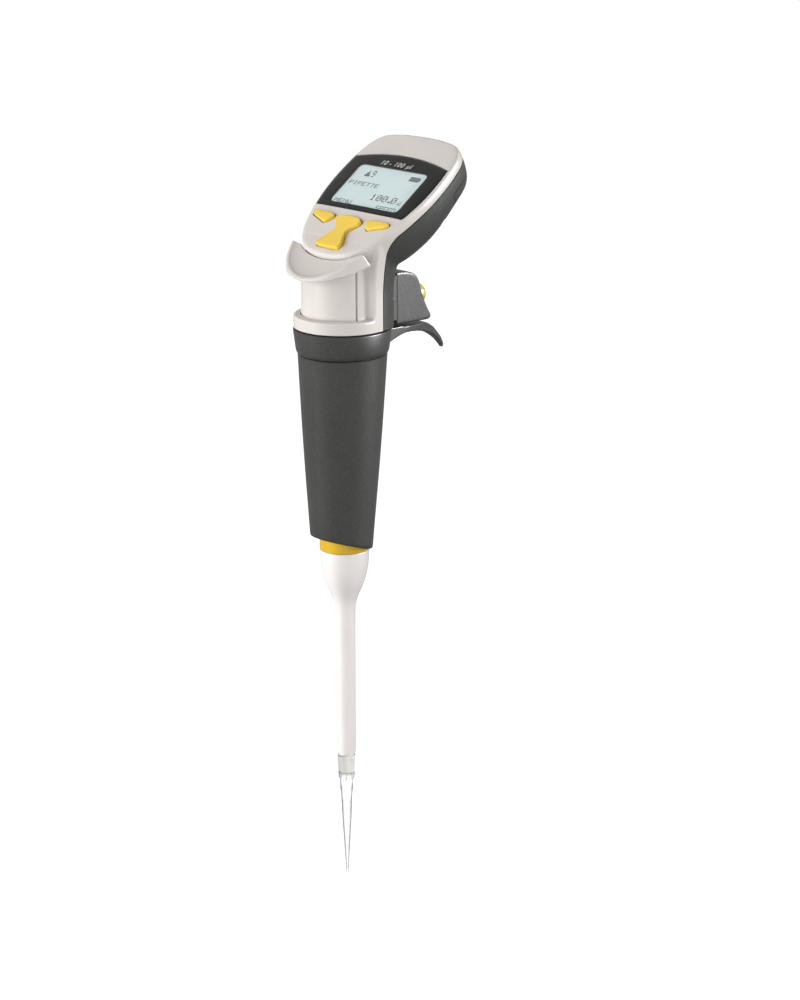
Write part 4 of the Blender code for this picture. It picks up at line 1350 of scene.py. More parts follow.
    def _shape_face(self, obj: Piece) -> None:
        """Bulges the face and sinks a soft valley round the keys.

        Args:
            obj: The head's skin.
        """
        co = points_of(obj)
        local = self.on_face(co)
        across, along, out = local.T
        front = ease(out, -2.2 * MM, -0.5 * MM)
        lift = self.crown_at(across, along)
        valley = np.exp(-((along - 2 * MM) / (8.5 * MM)) ** 2) * np.exp(-((across) / (15 * MM)) ** 4)
        move = front * (lift - 0.55 * MM * valley)
        normal = np.array(self.frame.to_3x3() @ Vector((0, 0, 1)))
        set_points(obj, co + move[:, None] * normal)

    def cavity(self) -> Piece:
        """The space inside the covers.

        Returns:
            The solid to take away.
        """
        inner_neck = self.neck("inner_neck", 0.1 * MM - self.wall, -FAR / 3)
        behind_recess = block("behind_recess", (-FAR, self.recess_y + self.wall, -FAR), (FAR, FAR, FAR))
        carve(inner_neck, Cut.KEEP, behind_recess)
        carve(inner_neck, Cut.REMOVE, self.above("over_cavity", -self.wall))
        drum = rod("drum", self.skirt_radius - 2.3 * MM, -FAR / 3, FAR, 96)
        carve(drum, Cut.KEEP, block("behind_guide", (-FAR, self.guide_y + self.wall, -FAR), (FAR, FAR, FAR)))
        carve(drum, Cut.REMOVE, self.above("over_drum", -2 * MM - self.wall))
        cavity = self.paddle("cavity", -self.wall, 4)
        return carve(cavity, Cut.JOIN, inner_neck, drum)


@dataclass
class KeyPlan:
    """The outlines of the soft keys on the face."""

    side: tuple[tuple[float, float], ...] = (
        (8.7, 6.1), (9.1, 4.8), (10.4, 3.2), (11.6, 2.4), (12.8, 2.5), (15.8, 3.6), (18.9, 4.6), (20.3, 5.4),
        (20.7, 6.2), (20.0, 6.9), (18.2, 7.2), (14.2, 7.2), (9.9, 6.8),
    )
    rocker_half: tuple[tuple[float, float], ...] = (
        (4.6, -9.0), (6.2, -8.3), (6.1, -6.6), (4.4, -3.2), (3.3, -1.0), (3.6, 0.6), (4.8, 2.2), (6.4, 3.9),
        (6.5, 5.3), (5.0, 6.4), (2.2, 7.0),
    )

    def side_key(self, hand: int) -> list[Vector]:
        """A side key's outline, right for 1 and left for -1."""
        points = through([Vector((x * MM * hand, y * MM)) for x, y in self.side], 5, closed=True)
        return points if hand > 0 else list(reversed(points))

    def rocker(self) -> list[Vector]:
        """The waisted key's outline.

        Returns:
            The outline.
        """
        right = [Vector((x * MM, y * MM)) for x, y in self.rocker_half]
        left = [Vector((-p.x, p.y)) for p in reversed(right)]
        return through(right + left, 6, closed=True)


@dataclass
class Display:
    """The black lens, its clear window, the panel below it and what the panel shows."""

    form: HeadForm
    bottom: float = 10.6 * MM
    top_side: float = 37.4 * MM
    top: float = 40.6 * MM
    inset_by: float = 1.3 * MM
    half_width: float = 18.4 * MM
    view_bottom: float = 13.0 * MM
    view_top: float = 33.6 * MM
    panel_out: float = -0.05 * MM
    dot_fill: float = 1.04
    dot_height: float = 0.05 * MM
    glyphs: dict[str, str] = field(default_factory=lambda: {
        "0": "01110 10001 10011 10101 11001 10001 01110",
        "1": "00100 01100 00100 00100 00100 00100 01110",
        "9": "01110 10001 10001 01111 00001 00001 01110",
        ".": "00000 00000 00000 00000 00000 01100 01100",
        "D": "11110 10001 10001 10001 10001 10001 11110",
        "E": "11111 10000 10000 11110 10000 10000 11111",
        "I": "01110 00100 00100 00100 00100 00100 01110",
        "M": "10001 11011 10101 10101 10001 10001 10001",
        "N": "10001 11001 10101 10011 10001 10001 10001",
        "P": "11110 10001 10001 11110 10000 10000 10000",
        "S": "01111 10000 10000 01110 00001 00001 11110",
        "T": "11111 00100 00100 00100 00100 00100 00100",
        "U": "10001 10001 10001 10001 10001 10001 01110",
        "l": "01100 00100 00100 00100 00100 00100 01110",
        "u": "00000 00000 10001 10001 10011 11101 10000",
        "^": "00000 00100 00100 01110 01110 11111 11111",
    })

    def lens_outline(self, step_in: float) -> list[Vector]:
        """The head's outline cut by a straight lower and an arched upper edge.

        Args:
            step_in: How far inside the lens's edge it lies.

        Returns:
            The outline.
        """
        edge = [p for p in inset(self.form.outline(10), self.inset_by) if p.x > 0]
        side = [p for p in edge if self.bottom < p.y < self.top_side]
        wide = side[-1].x
        points = [Vector((side[0].x - 0.2 * MM, self.bottom)), *side[1:-1], Vector((wide, self.top_side))]
        arch = 14
        for i in range(1, arch):
            x = wide * (1 - i / arch)
            points.append(Vector((x, self.top_side + (self.top - self.top_side) * (1 - (x / wide) ** 2))))
        left = [Vector((-p.x, p.y)) for p in reversed(points)]
        return inset(points + [Vector((0, self.top))] + left, step_in)

    def window_outline(self, grow: float, radius: float = 2.2 * MM) -> list[Vector]:
        """A rounded rectangle round the view, as evenly spread points.

        Args:
            grow: How far outside the view it lies.
            radius: The corners' radius.

        Returns:
            The outline.
        """
        wide = self.half_width + grow
        low, high = self.view_bottom - grow, self.view_top + grow
        corners = [(wide, low, -0.5), (wide, high, 0.0), (-wide, high, 0.5), (-wide, low, 1.0)]
        points = []
        for x, y, turn in corners:
            centre = Vector((x - math.copysign(radius, x), y + (radius if y == low else -radius)))
            for i in range(9):
                angle = math.pi * (turn + 0.5 * i / 8)
                points.append(centre + radius * Vector((math.cos(angle), math.sin(angle))))
        return points

    def ray_hit(self, outline: Sequence[Vector], centre: Vector, angle: float) -> Vector:
        """Where a ray from the centre meets an outline.

        Args:
            outline: The outline.
            centre: Where the ray starts.
            angle: Its direction.

        Returns:
            The place.
        """
        ray = Vector((math.cos(angle), math.sin(angle)))
        count = len(outline)
        for i in range(count):
            a, b = outline[i] - centre, outline[(i + 1) % count] - centre
            side = b - a
            cross = ray.x * side.y - ray.y * side.x
            if abs(cross) < 1e-12:
                continue
            reach = (a.x * side.y - a.y * side.x) / cross
            along = (a.x * ray.y - a.y * ray.x) / cross
            if reach > 0 and -1e-9 <= along <= 1 + 1e-9:
                return centre + ray * reach
        return centre + ray * self.half_width

    def lifted(self, point: Vector, height: float) -> Vector:
        """A point of the crowned face, height above it."""
        return self.form.frame @ Vector((point.x, point.y, self.form.crown_at(point.x, point.y) + height))

    def bezel(self) -> Piece:
        """The black lens, a crowned plate with rounded edges and a rectangular window.

        Returns:
            The lens.
        """
        centre = Vector((0, (self.view_bottom + self.view_top) / 2))
        outer, inner = self.lens_outline(0), self.window_outline(0)
        count = 480
        angles = [2 * math.pi * i / count for i in range(count)]
        out_hits = [self.ray_hit(outer, centre, a) for a in angles]
        in_hits = [self.ray_hit(inner, centre, a) for a in angles]
        rings = []
        plan = [(1.0, -1.2), (1.0, -0.45), (0.97, -0.22), (0.91, -0.08), (0.8, -0.02), (0.5, 0.0), (0.2, 0.0),
                (0.06, -0.02), (0.0, -0.14), (0.0, -1.2)]
        for share, height in plan:
            rings.append([self.lifted(i.lerp(o, share), height * MM) for o, i in zip(out_hits, in_hits)])
        return smooth(skin("display_lens", rings, closed=True), 50)

    def pane(self) -> Piece:
        """The clear window, a thin plate that follows the lens.

        Returns:
            The window.
        """
        outline = self.window_outline(-0.15 * MM)
        centre = Vector((0, (self.view_bottom + self.view_top) / 2))
        steps = 14
        rings = []
        for height, shares in ((-0.02, range(1, steps + 1)), (-0.25, range(steps, 0, -1))):
            for share in shares:
                rings.append([self.lifted(centre.lerp(p, share / steps), height * MM) for p in outline])
        return smooth(skin("clear_window", rings), 50)

    def panel(self) -> Piece:
        """The liquid-crystal cell, flat and close below the window."""
        outline = self.window_outline(-0.06 * MM)
        return smooth(prism("panel_glass", outline, -4.6 * MM, self.panel_out, self.form.frame), 40)

    def word(self, text: str, low: Point2, dot: Point2) -> list[tuple[float, ...]]:
        """The dots of a word from its lower left corner. Each place carries its dot's width and height.

        Args:
            text: The word.
            low: Its lower left corner.
            dot: A dot's width and height.

        Returns:
            A place, a width and a height for each dot.
        """
        places = []
        pen = low[0]
        for letter in text:
            for row, bits in enumerate(reversed(self.glyphs[letter].split())):
                for column, bit in enumerate(bits):
                    if bit == "1":
                        places.append((pen + (column + 0.5) * dot[0], low[1] + (row + 0.5) * dot[1], *dot))
            pen += (3.4 if letter in ".l" else 6) * dot[0]
        return places

    def dots(self) -> Piece:
        """The lit dots: two icons, the volume and the words above the soft keys.

        Returns:
            The dots, as one mesh.
        """
        words = (
            ("^", (-12.5, 28.0), (0.54, 0.52)), ("9", (-9.2, 28.1), (0.36, 0.48)),
            ("PIPETTE", (-17.0, 23.2), (0.39, 0.275)), ("100.0", (-0.3, 17.1), (0.52, 0.457)),
            ("ul", (14.7, 16.8), (0.17, 0.32)), ("MENU", (-16.7, 13.5), (0.40, 0.262)),
            ("SPEED", (6.0, 13.0), (0.365, 0.305)),
        )
        places = []
        for text, low, dot in words:
            places += self.word(text, *scaled([low, dot]))
        cells = [(x, y) for x in range(7) for y in range(4)] + [(7, 1), (7, 2)]
        wide, tall = 0.70 * MM, 0.58 * MM
        for x, y in cells:
            cell = (10.7 * MM + (x + 0.5) * wide, 29.3 * MM + (y + 0.5) * tall)
            places.append((*cell, wide * self.dot_fill, tall * self.dot_fill))
        spots = [self.form.frame @ Vector((x, y, self.panel_out)) for x, y, _, _ in places]
        cloud = point_cloud("dot_seed", spots)
        size = cloud.data.attributes.new("dot_size", "FLOAT_VECTOR", "POINT")
        sizes = [value for place in places for value in (place[2], place[3], self.dot_height)]
        size.data.foreach_set("vector", sizes)
        pattern = Pattern("display_dots", {"Fill": self.dot_fill, "Tilt": self.form.tilt})
        square = pattern.node("GeometryNodeMeshCube", {}, {})
        named = pattern.attribute("dot_size")
        scale = pattern.node("ShaderNodeVectorMath", {"operation": "SCALE"}, {
            0: named, "Scale": pattern.size("Fill")})
        turn = pattern.node("ShaderNodeCombineXYZ", {}, {0: pattern.size("Tilt")})
        spread = pattern.node("GeometryNodeInstanceOnPoints", {}, {
            "Points": pattern.start.outputs["Geometry"], "Instance": square.outputs["Mesh"],
            "Rotation": turn.outputs[0], "Scale": scale.outputs[0]})
        return pattern.made("display_dots", cloud, spread.outputs["Instances"], SEGMENT)

    def print_word(self, name: str, text: str, size: float, place: Point2, lean: float) -> Piece:
        """A word printed on the crowned face.

        Args:
            name: The object's name.
            text: The word.
            size: The letters' size.
            place: Its middle, across and along the face.
            lean: The letters' slant.

        Returns:
            The word, as a mesh.
        """
        curve = bpy.data.curves.new(name, "FONT")
        curve.body = text
        curve.size = size
        curve.shear = lean
        curve.space_character = 1.12
        curve.align_x = "CENTER"
        curve.extrude = 0.01 * MM
        curve.resolution_u = 3
        piece = settled_text(name, curve)
        lift = 0.02 * MM
        moved = [self.lifted(Vector((x + place[0], y + place[1])), z + lift) for x, y, z in points_of(piece)]
        set_points(piece, np.array(moved))
        return piece

    def build(self) -> None:
        """Makes and dresses the display."""
        finish_piece(self.bezel(), BLACK_LENS, Body.CASING, ["display_bezel"])
        finish_piece(self.pane(), CLEAR_PANE, Body.CASING, ["display_window"])
        finish_piece(self.panel(), PANEL, Body.CASING, ["lcd_panel"])
        finish_piece(self.dots(), SEGMENT, Body.CASING)
        note = self.print_word("range_print", "10 - 100 µl", 3.3 * MM, (-0.6 * MM, 34.5 * MM), 0.15)
        finish_piece(note, PALE_INK, Body.CASING)


def settled_text(name: str, curve: bpy.types.Curve) -> Piece:
    """Turns a text curve into a mesh object.

    Args:
        name: The object's name.
        curve: The text.

    Returns:
        The object.
    """
    obj = bpy.data.objects.new(name + "_text", curve)
    bpy.context.scene.collection.objects.link(obj)
    bpy.context.view_layer.update()
    mesh = bpy.data.meshes.new_from_object(obj.evaluated_get(bpy.context.evaluated_depsgraph_get()))
    mesh.name = name
    mesh.materials.clear()
    bpy.data.objects.remove(obj)
    bm = bmesh.new()
    bm.from_mesh(mesh)
    bmesh.ops.remove_doubles(bm, verts=bm.verts, dist=WELD / 2)
    bmesh.ops.recalc_face_normals(bm, faces=bm.faces)
    bm.to_mesh(mesh)
    bm.free()
    return new_object(name, mesh)


# ---------------------------------------------------------------- covers, door and keys

@dataclass
class Covers:
    """The light front cover, the dark rear cover and the battery door."""

    form: HeadForm
    keys: KeyPlan
    display: Display
    door_along: float = 34.0 * MM
    door_depth: float = 9.0 * MM
    key_gap: float = 0.32 * MM
    seam: float = 0.42 * MM
    screw_seat: float = 11.8 * MM
    neck_screw: tuple[float, float, float] = (13.0 * MM, 11.2 * MM, 20.0 * MM)
    head_screw: tuple[float, float] = (21.5 * MM, 26.0 * MM)
    well_radius: float = 2.25 * MM
    lens_gap: float = 0.22 * MM
    lens_seat: float = 1.5 * MM
    pocket_gap: float = 0.4 * MM
    # How far the strip of painted seam shade sits below the skin.
    shade_strip_sink: float = 0.45 * MM
    grooves: int = 5
    groove_start: float = 38.0 * MM
    groove_pitch: float = 1.5 * MM
    groove_radius: float = 0.45 * MM
    groove_half_width: float = 8.0 * MM
    key_foot: float = -2.3 * MM
    key_top: float = 1.35 * MM

    def front(self, skin_of_head: Piece, cavity: Piece) -> Piece:
        """The light cover, with its seats for lens and keys and the ejector's pocket.

        Args:
            skin_of_head: The whole outer skin.
            cavity: The space inside the covers.

        Returns:
            The cover.
        """
        form = self.form
        front = copy_of("front_shell", skin_of_head)
        region = side_prism("front_region", form.parting(0) + [(-FAR, -FAR), (-FAR, 2 * FAR)], FAR)
        carve(front, Cut.KEEP, region)
        carve(front, Cut.REMOVE, cavity, keep=True)
        pocket = rod("pocket", form.skirt_radius + self.pocket_gap, -10 * MM, 50 * MM, 160)
        carve(pocket, Cut.KEEP, block("before_guide", (-FAR, -FAR, -FAR), (FAR, form.guide_y, FAR)))
        carve(pocket, Cut.REMOVE, form.paddle("chin", 0.02 * MM))
        carve(front, Cut.REMOVE, pocket)
        seat = self.display.lens_outline(-self.lens_gap)
        carve(front, Cut.REMOVE, prism("lens_seat", seat, -self.lens_seat, FAR, form.frame))
        view = self.display.window_outline(1.0 * MM)
        carve(front, Cut.REMOVE, prism("view_hole", view, -5 * MM, 5 * MM, form.frame))
        for outline in (self.keys.side_key(1), self.keys.side_key(-1), self.keys.rocker()):
            hole = inset(outline, -self.key_gap)
            carve(front, Cut.REMOVE, prism("key_hole", hole, -6 * MM, 6 * MM, form.frame))
        return smooth(front, 28)

    def rear(self, skin_of_head: Piece, cavity: Piece) -> Piece:
        """The dark cover, with its screw wells and the opening under the battery door.

        Args:
            skin_of_head: The whole outer skin.
            cavity: The space inside the covers.

        Returns:
            The cover.
        """
        form = self.form
        rear = copy_of("rear_shell", skin_of_head)
        outline = form.parting(self.seam) + [(2 * FAR, -FAR), (2 * FAR, FAR)]
        carve(rear, Cut.KEEP, side_prism("rear_region", outline, FAR))
        carve(rear, Cut.REMOVE, cavity, keep=True)
        zone = block("door_zone", (-FAR, self.door_along, -FAR), (FAR, FAR, -self.door_depth), form.frame)
        carve(rear, Cut.REMOVE, zone)
        for at in self.screw_frames():
            carve(rear, Cut.REMOVE, rod("well", self.well_radius, -FAR / 4, 0, 40, at))
        return smooth(rear, 28)

    def shade_strip(self, skin_of_head: Piece, cavity: Piece) -> Piece:
        """A dark strip of painted shade that fills the seam between the covers, sunk below their skin.

        Args:
            skin_of_head: The whole outer skin.
            cavity: The space inside the covers.

        Returns:
            The strip.
        """
        strip = copy_of("seam_gasket", skin_of_head)
        normals = np.empty(len(strip.data.vertices) * 3, np.float32)
        strip.data.vertices.foreach_get("normal", normals)
        set_points(strip, points_of(strip) - self.shade_strip_sink * normals.reshape(-1, 3))
        outline = self.form.parting(0.0) + list(reversed(self.form.parting(self.seam)))
        carve(strip, Cut.KEEP, side_prism("seam_region", outline, FAR))
        return smooth(carve(strip, Cut.REMOVE, cavity, keep=True), 28)

    def screw_frames(self) -> list[Matrix]:
        """The seats of the four cover screws, each with its Z pointing into the casing.

        Returns:
            The four seats.
        """
        x, y, z = self.neck_screw
        across, along = self.head_screw
        seats = []
        for side in (-1, 1):
            seats.append(Matrix.Translation((side * x, y, z)) @ Matrix.Rotation(math.pi / 2, 4, "X"))
        for side in (-1, 1):
            seats.append(self.form.frame @ Matrix.Translation((side * across, along, -self.screw_seat)))
        return seats

    def door(self, skin_of_head: Piece, cavity: Piece) -> Piece:
        """The battery door with grip grooves near its edge.

        Args:
            skin_of_head: The whole outer skin.
            cavity: The space inside the covers.

        Returns:
            The door.
        """
        form = self.form
        door = copy_of("battery_door", skin_of_head)
        low = self.door_along + form.gap
        kept = block("door_kept", (-FAR, low, -FAR), (FAR, FAR, -self.door_depth - form.gap), form.frame)
        carve(door, Cut.KEEP, kept)
        carve(door, Cut.REMOVE, cavity, keep=True)
        for i in range(self.grooves):
            along = self.groove_start + i * self.groove_pitch
            place = form.frame @ Matrix.Translation((0, along, -form.depth - 0.1 * MM))
            across = place @ Matrix.Rotation(math.pi / 2, 4, "Y")
            half = self.groove_half_width
            carve(door, Cut.REMOVE, rod("groove", self.groove_radius, -half, half, 24, across))
        return smooth(door, 28)

    def screws(self) -> Piece:
        """Four cross-head screws in their wells.

        Returns:
            The screws, as one mesh.
        """
        bm = bmesh.new()
        size = {"radius1": 1.6 * MM, "radius2": 1.9 * MM, "depth": 1.3 * MM}
        bmesh.ops.create_cone(bm, cap_ends=True, segments=40, **size)
        head = from_bmesh("screw_head", bm, Matrix.Translation((0, 0, -0.95 * MM)))
        carve(head, Cut.JOIN, rod("shank", 0.85 * MM, -0.6 * MM, 8.2 * MM, 24))
        slot_low, slot_high = (-1.15 * MM, -0.22 * MM, -2 * MM), (1.15 * MM, 0.22 * MM, -1.0 * MM)
        for turn in (0.0, math.pi / 2):
            carve(head, Cut.REMOVE, block("slot", slot_low, slot_high, Matrix.Rotation(turn, 4, "Z")))
        seats = self.screw_frames()
        cloud = point_cloud("screw_seed", [seat.translation for seat in seats])
        turns = cloud.data.attributes.new("turn", "FLOAT_VECTOR", "POINT")
        turns.data.foreach_set("vector", [value for seat in seats for value in seat.to_euler()])
        pattern = Pattern("cover_screws", {"Scale": 1.0})
        source = pattern.node("GeometryNodeObjectInfo", {}, {"Object": head})
        spread = pattern.node("GeometryNodeInstanceOnPoints", {}, {
            "Points": pattern.start.outputs["Geometry"], "Instance": source.outputs["Geometry"],
            "Rotation": pattern.attribute("turn"), "Scale": pattern.size("Scale")})
        made = pattern.made("cover_screws", cloud, spread.outputs["Instances"], OXIDE)
        bpy.data.objects.remove(head)
        return smooth(made, 30)

    def key(self, name: str, outline: list[Vector], dish: float) -> Piece:
        """A soft key: rounded along its edge and slightly dished or domed on top.

        Args:
            name: The object's name.
            outline: Its outline on the face.
            dish: How far its rim rises above its middle.

        Returns:
            The key.
        """
        form = self.form
        piece = prism(name, inset(outline, 0.1 * MM), self.key_foot, self.key_top, form.frame)
        remeshed(piece, 0.17 * MM)
        relaxed(piece, 9)
        co = points_of(piece)
        local = form.on_face(co)
        middle = (local.min(0) + local.max(0)) / 2
        reach = (local.max(0) - local.min(0)) / 2
        away = np.clip(((local[:, :2] - middle[:2]) / reach[:2]) ** 2, 0, 1).sum(1) / 2
        top = ease(local[:, 2], 0.2 * MM, 1.0 * MM)
        normal = np.array(form.frame.to_3x3() @ Vector((0, 0, 1)))
        set_points(piece, co + (top * (dish * (away - 0.3) - 0.10 * MM))[:, None] * normal)
        return smooth(piece, 60)

    def build(self) -> None:
        """Makes and dresses the covers, the door, the keys and the screws."""
        outer = self.form.outer()
        cavity = self.form.cavity()
        finish_piece(self.front(outer, cavity), LIGHT, Body.CASING, ["front_cover"])
        finish_piece(self.rear(outer, cavity), DARK, Body.CASING, ["rear_cover"])
        finish_piece(self.door(outer, cavity), DARK, Body.DOOR, ["battery_cover"])
        # The seam strip is painted shade: a dark sheet in the seal_rubber finish, placed where the gap
        # between the covers is only shaded.
        finish_piece(self.shade_strip(outer, cavity), RUBBER, Body.CASING)
        for rough in (outer, cavity):
            bpy.data.objects.remove(rough)
        nodes = [f"cover_screw_{i}" for i in range(1, 5)]
        finish_piece(self.screws(), OXIDE, Body.CASING, nodes)
        for hand, body, node in ((1, Body.RIGHT, "right_key"), (-1, Body.LEFT, "left_key")):
            key = self.key(node + "_cap", self.keys.side_key(hand), -0.25 * MM)
            finish_piece(key, YELLOW, body, [node])
        rocker = self.key("rocker_cap", self.keys.rocker(), 0.45 * MM)
        finish_piece(rocker, YELLOW, Body.ROCKER, ["rocker_key"])


# ---------------------------------------------------------------- ejector

@dataclass
class Ejector:
    """The thumb tray with its skirt, the sleeve, the volume ring and the return spring."""

    form: HeadForm
    tray_radius: float = 20.8 * MM
    tray_lip: float = 1.0 * MM
    tray_slope: float = 0.365
    tray_end: float = -8.6 * MM
    dish_depth: float = 2.2 * MM
    dish_rim: float = 1.2 * MM
    skirt_overlap: float = 2.2 * MM
    skirt_wall: float = 1.3 * MM
    skirt_half_angle: float = math.radians(66.5)
    ring_radius: float = 9.5 * MM
    ring_bore: float = 8.6 * MM

    def underside(self, y: np.ndarray | float) -> np.ndarray | float:
        """The height of the tray's sloping underside."""
        front = self.form.face_z - math.tan(self.form.tilt) * self.tray_radius - self.tray_lip
        return front + self.tray_slope * (y + self.tray_radius)

    def tray(self) -> Piece:
        """The crescent thumb rest and the curved skirt below it, moulded in one piece.

        Returns:
            The tray with its skirt.
        """
        form = self.form
        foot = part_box("ejector_button")[0].z
        tray = rod("tray", self.tray_radius, 10 * MM, 60 * MM, 200)
        side = [(-FAR, self.underside(-FAR)), (FAR, self.underside(FAR)), (FAR, 2 * FAR), (-FAR, 2 * FAR)]
        carve(tray, Cut.KEEP, side_prism("tray_side", side, FAR))
        carve(tray, Cut.KEEP, block("tray_front", (-FAR, -FAR, -FAR), (FAR, self.tray_end, 0), form.frame))
        clear = form.paddle("clear", 0.5 * MM)
        deeper = Matrix.Translation((0, 0, 1.5 * MM)) @ Matrix.Diagonal((1, 1, 1.15, 1))
        clear.data.transform(form.frame @ deeper @ form.frame.inverted())
        carve(tray, Cut.REMOVE, clear, keep=True)
        horn_x = form.skirt_radius + 0.5 * MM
        carve(tray, Cut.REMOVE, block("horns", (-horn_x, form.guide_y - 0.3 * MM, 0), (horn_x, 0, FAR)))
        reach = self.tray_radius - self.dish_rim
        radii = (reach, reach / math.cos(form.tilt), self.dish_depth)
        carve(tray, Cut.REMOVE, ball("dish", radii, form.frame))
        inside = form.skirt_radius - self.skirt_wall
        skirt = turned("skirt", [
            (form.skirt_radius, 44 * MM), (form.skirt_radius, foot), (inside, foot), (inside, 44 * MM)], 200)
        edge_y = -(form.skirt_radius - self.skirt_wall / 2) * math.cos(self.skirt_half_angle)
        carve(skirt, Cut.KEEP, block("skirt_front", (-FAR, -FAR, -FAR), (FAR, edge_y, FAR)))
        carve(skirt, Cut.REMOVE, form.above("over_skirt", -self.skirt_overlap), clear)
        carve(tray, Cut.JOIN, skirt)
        remeshed(tray, 0.27 * MM)
        relaxed(tray, 10)
        relaxed(tray, 30, self._under)
        return smooth(tray, 50)

    def _under(self, co: np.ndarray) -> np.ndarray:
        """The corner where skirt and tray meet, which gets a wide fillet.

        Args:
            co: The points, one row each.

        Returns:
            How much each point moves.
        """
        radius = np.hypot(co[:, 0], co[:, 1])
        near = 1 - ease(np.abs(radius - self.form.skirt_radius), 1.0 * MM, 2.6 * MM)
        band = 1 - ease(np.abs(co[:, 2] - self.underside(co[:, 1])), 1.4 * MM, 3.0 * MM)
        outside = ease(radius, self.form.skirt_radius - 0.5 * MM, self.form.skirt_radius - 0.1 * MM)
        return near * band * outside

    def sleeve(self) -> Piece:
        """The white bulb and tube that push the tip off.

        Returns:
            The sleeve.
        """
        low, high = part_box("ejector_sleeve")
        bulb = through([
            (9.55, -77.6), (9.50, -80.0), (9.2, -83.6), (8.65, -87.0), (7.8, -90.3), (6.5, -93.6),
            (5.15, -96.9), (4.35, -100.0), (4.1, -103.5), (4.04, -108.0),
        ], 6)
        outer = scaled([*bulb, (3.92, -140)])
        foot, head = low.z / MM, high.z / MM
        rim = scaled([(3.85, foot + 0.9), (3.78, foot + 0.35), (3.6, foot + 0.06), (3.4, foot)])
        inner = scaled([
            (3.0, foot), (3.0, -101.5), (4.4, -97), (7.7, -87.5), (8.0, -83), (7.0, -77.3), (7.0, -76.4),
            (3.8, -76.4), (3.8, -74.9), (7.0, -74.9), (7.0, head),
        ])
        top = scaled([(8.3, head), (8.3, -77.3), (9.2, -77.4), (9.45, -77.45)])
        return smooth(turned("sleeve", top + outer + rim + inner, 160), 40)

    def ring(self) -> Piece:
        """The yellow volume ring above the bulb.

        Returns:
            The ring.
        """
        low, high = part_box("volume_ring")
        wide, bore = self.ring_radius, self.ring_bore
        profile = [
            (wide - 0.3 * MM, high.z), (wide, high.z - 0.5 * MM), (wide, low.z + 0.35 * MM),
            (wide - 0.12 * MM, low.z + 0.1 * MM), (wide - 0.3 * MM, low.z), (bore, low.z), (bore, high.z),
        ]
        return smooth(turned("ring", profile, 160), 40)

    def build(self) -> None:
        """Makes and dresses the ejector."""
        finish_piece(self.tray(), LIGHT, Body.EJECTOR, ["ejector_button"])
        finish_piece(self.sleeve(), WHITE, Body.EJECTOR, ["ejector_sleeve"])
        finish_piece(self.ring(), GOLD, Body.EJECTOR, ["volume_ring"])
        upright = Matrix.Identity(4)
        spring("return_spring", 4.4 * MM, 0.35 * MM, -92.8 * MM, -77.2 * MM, 6.0, upright, "ejector_spring")


# ---------------------------------------------------------------- grip

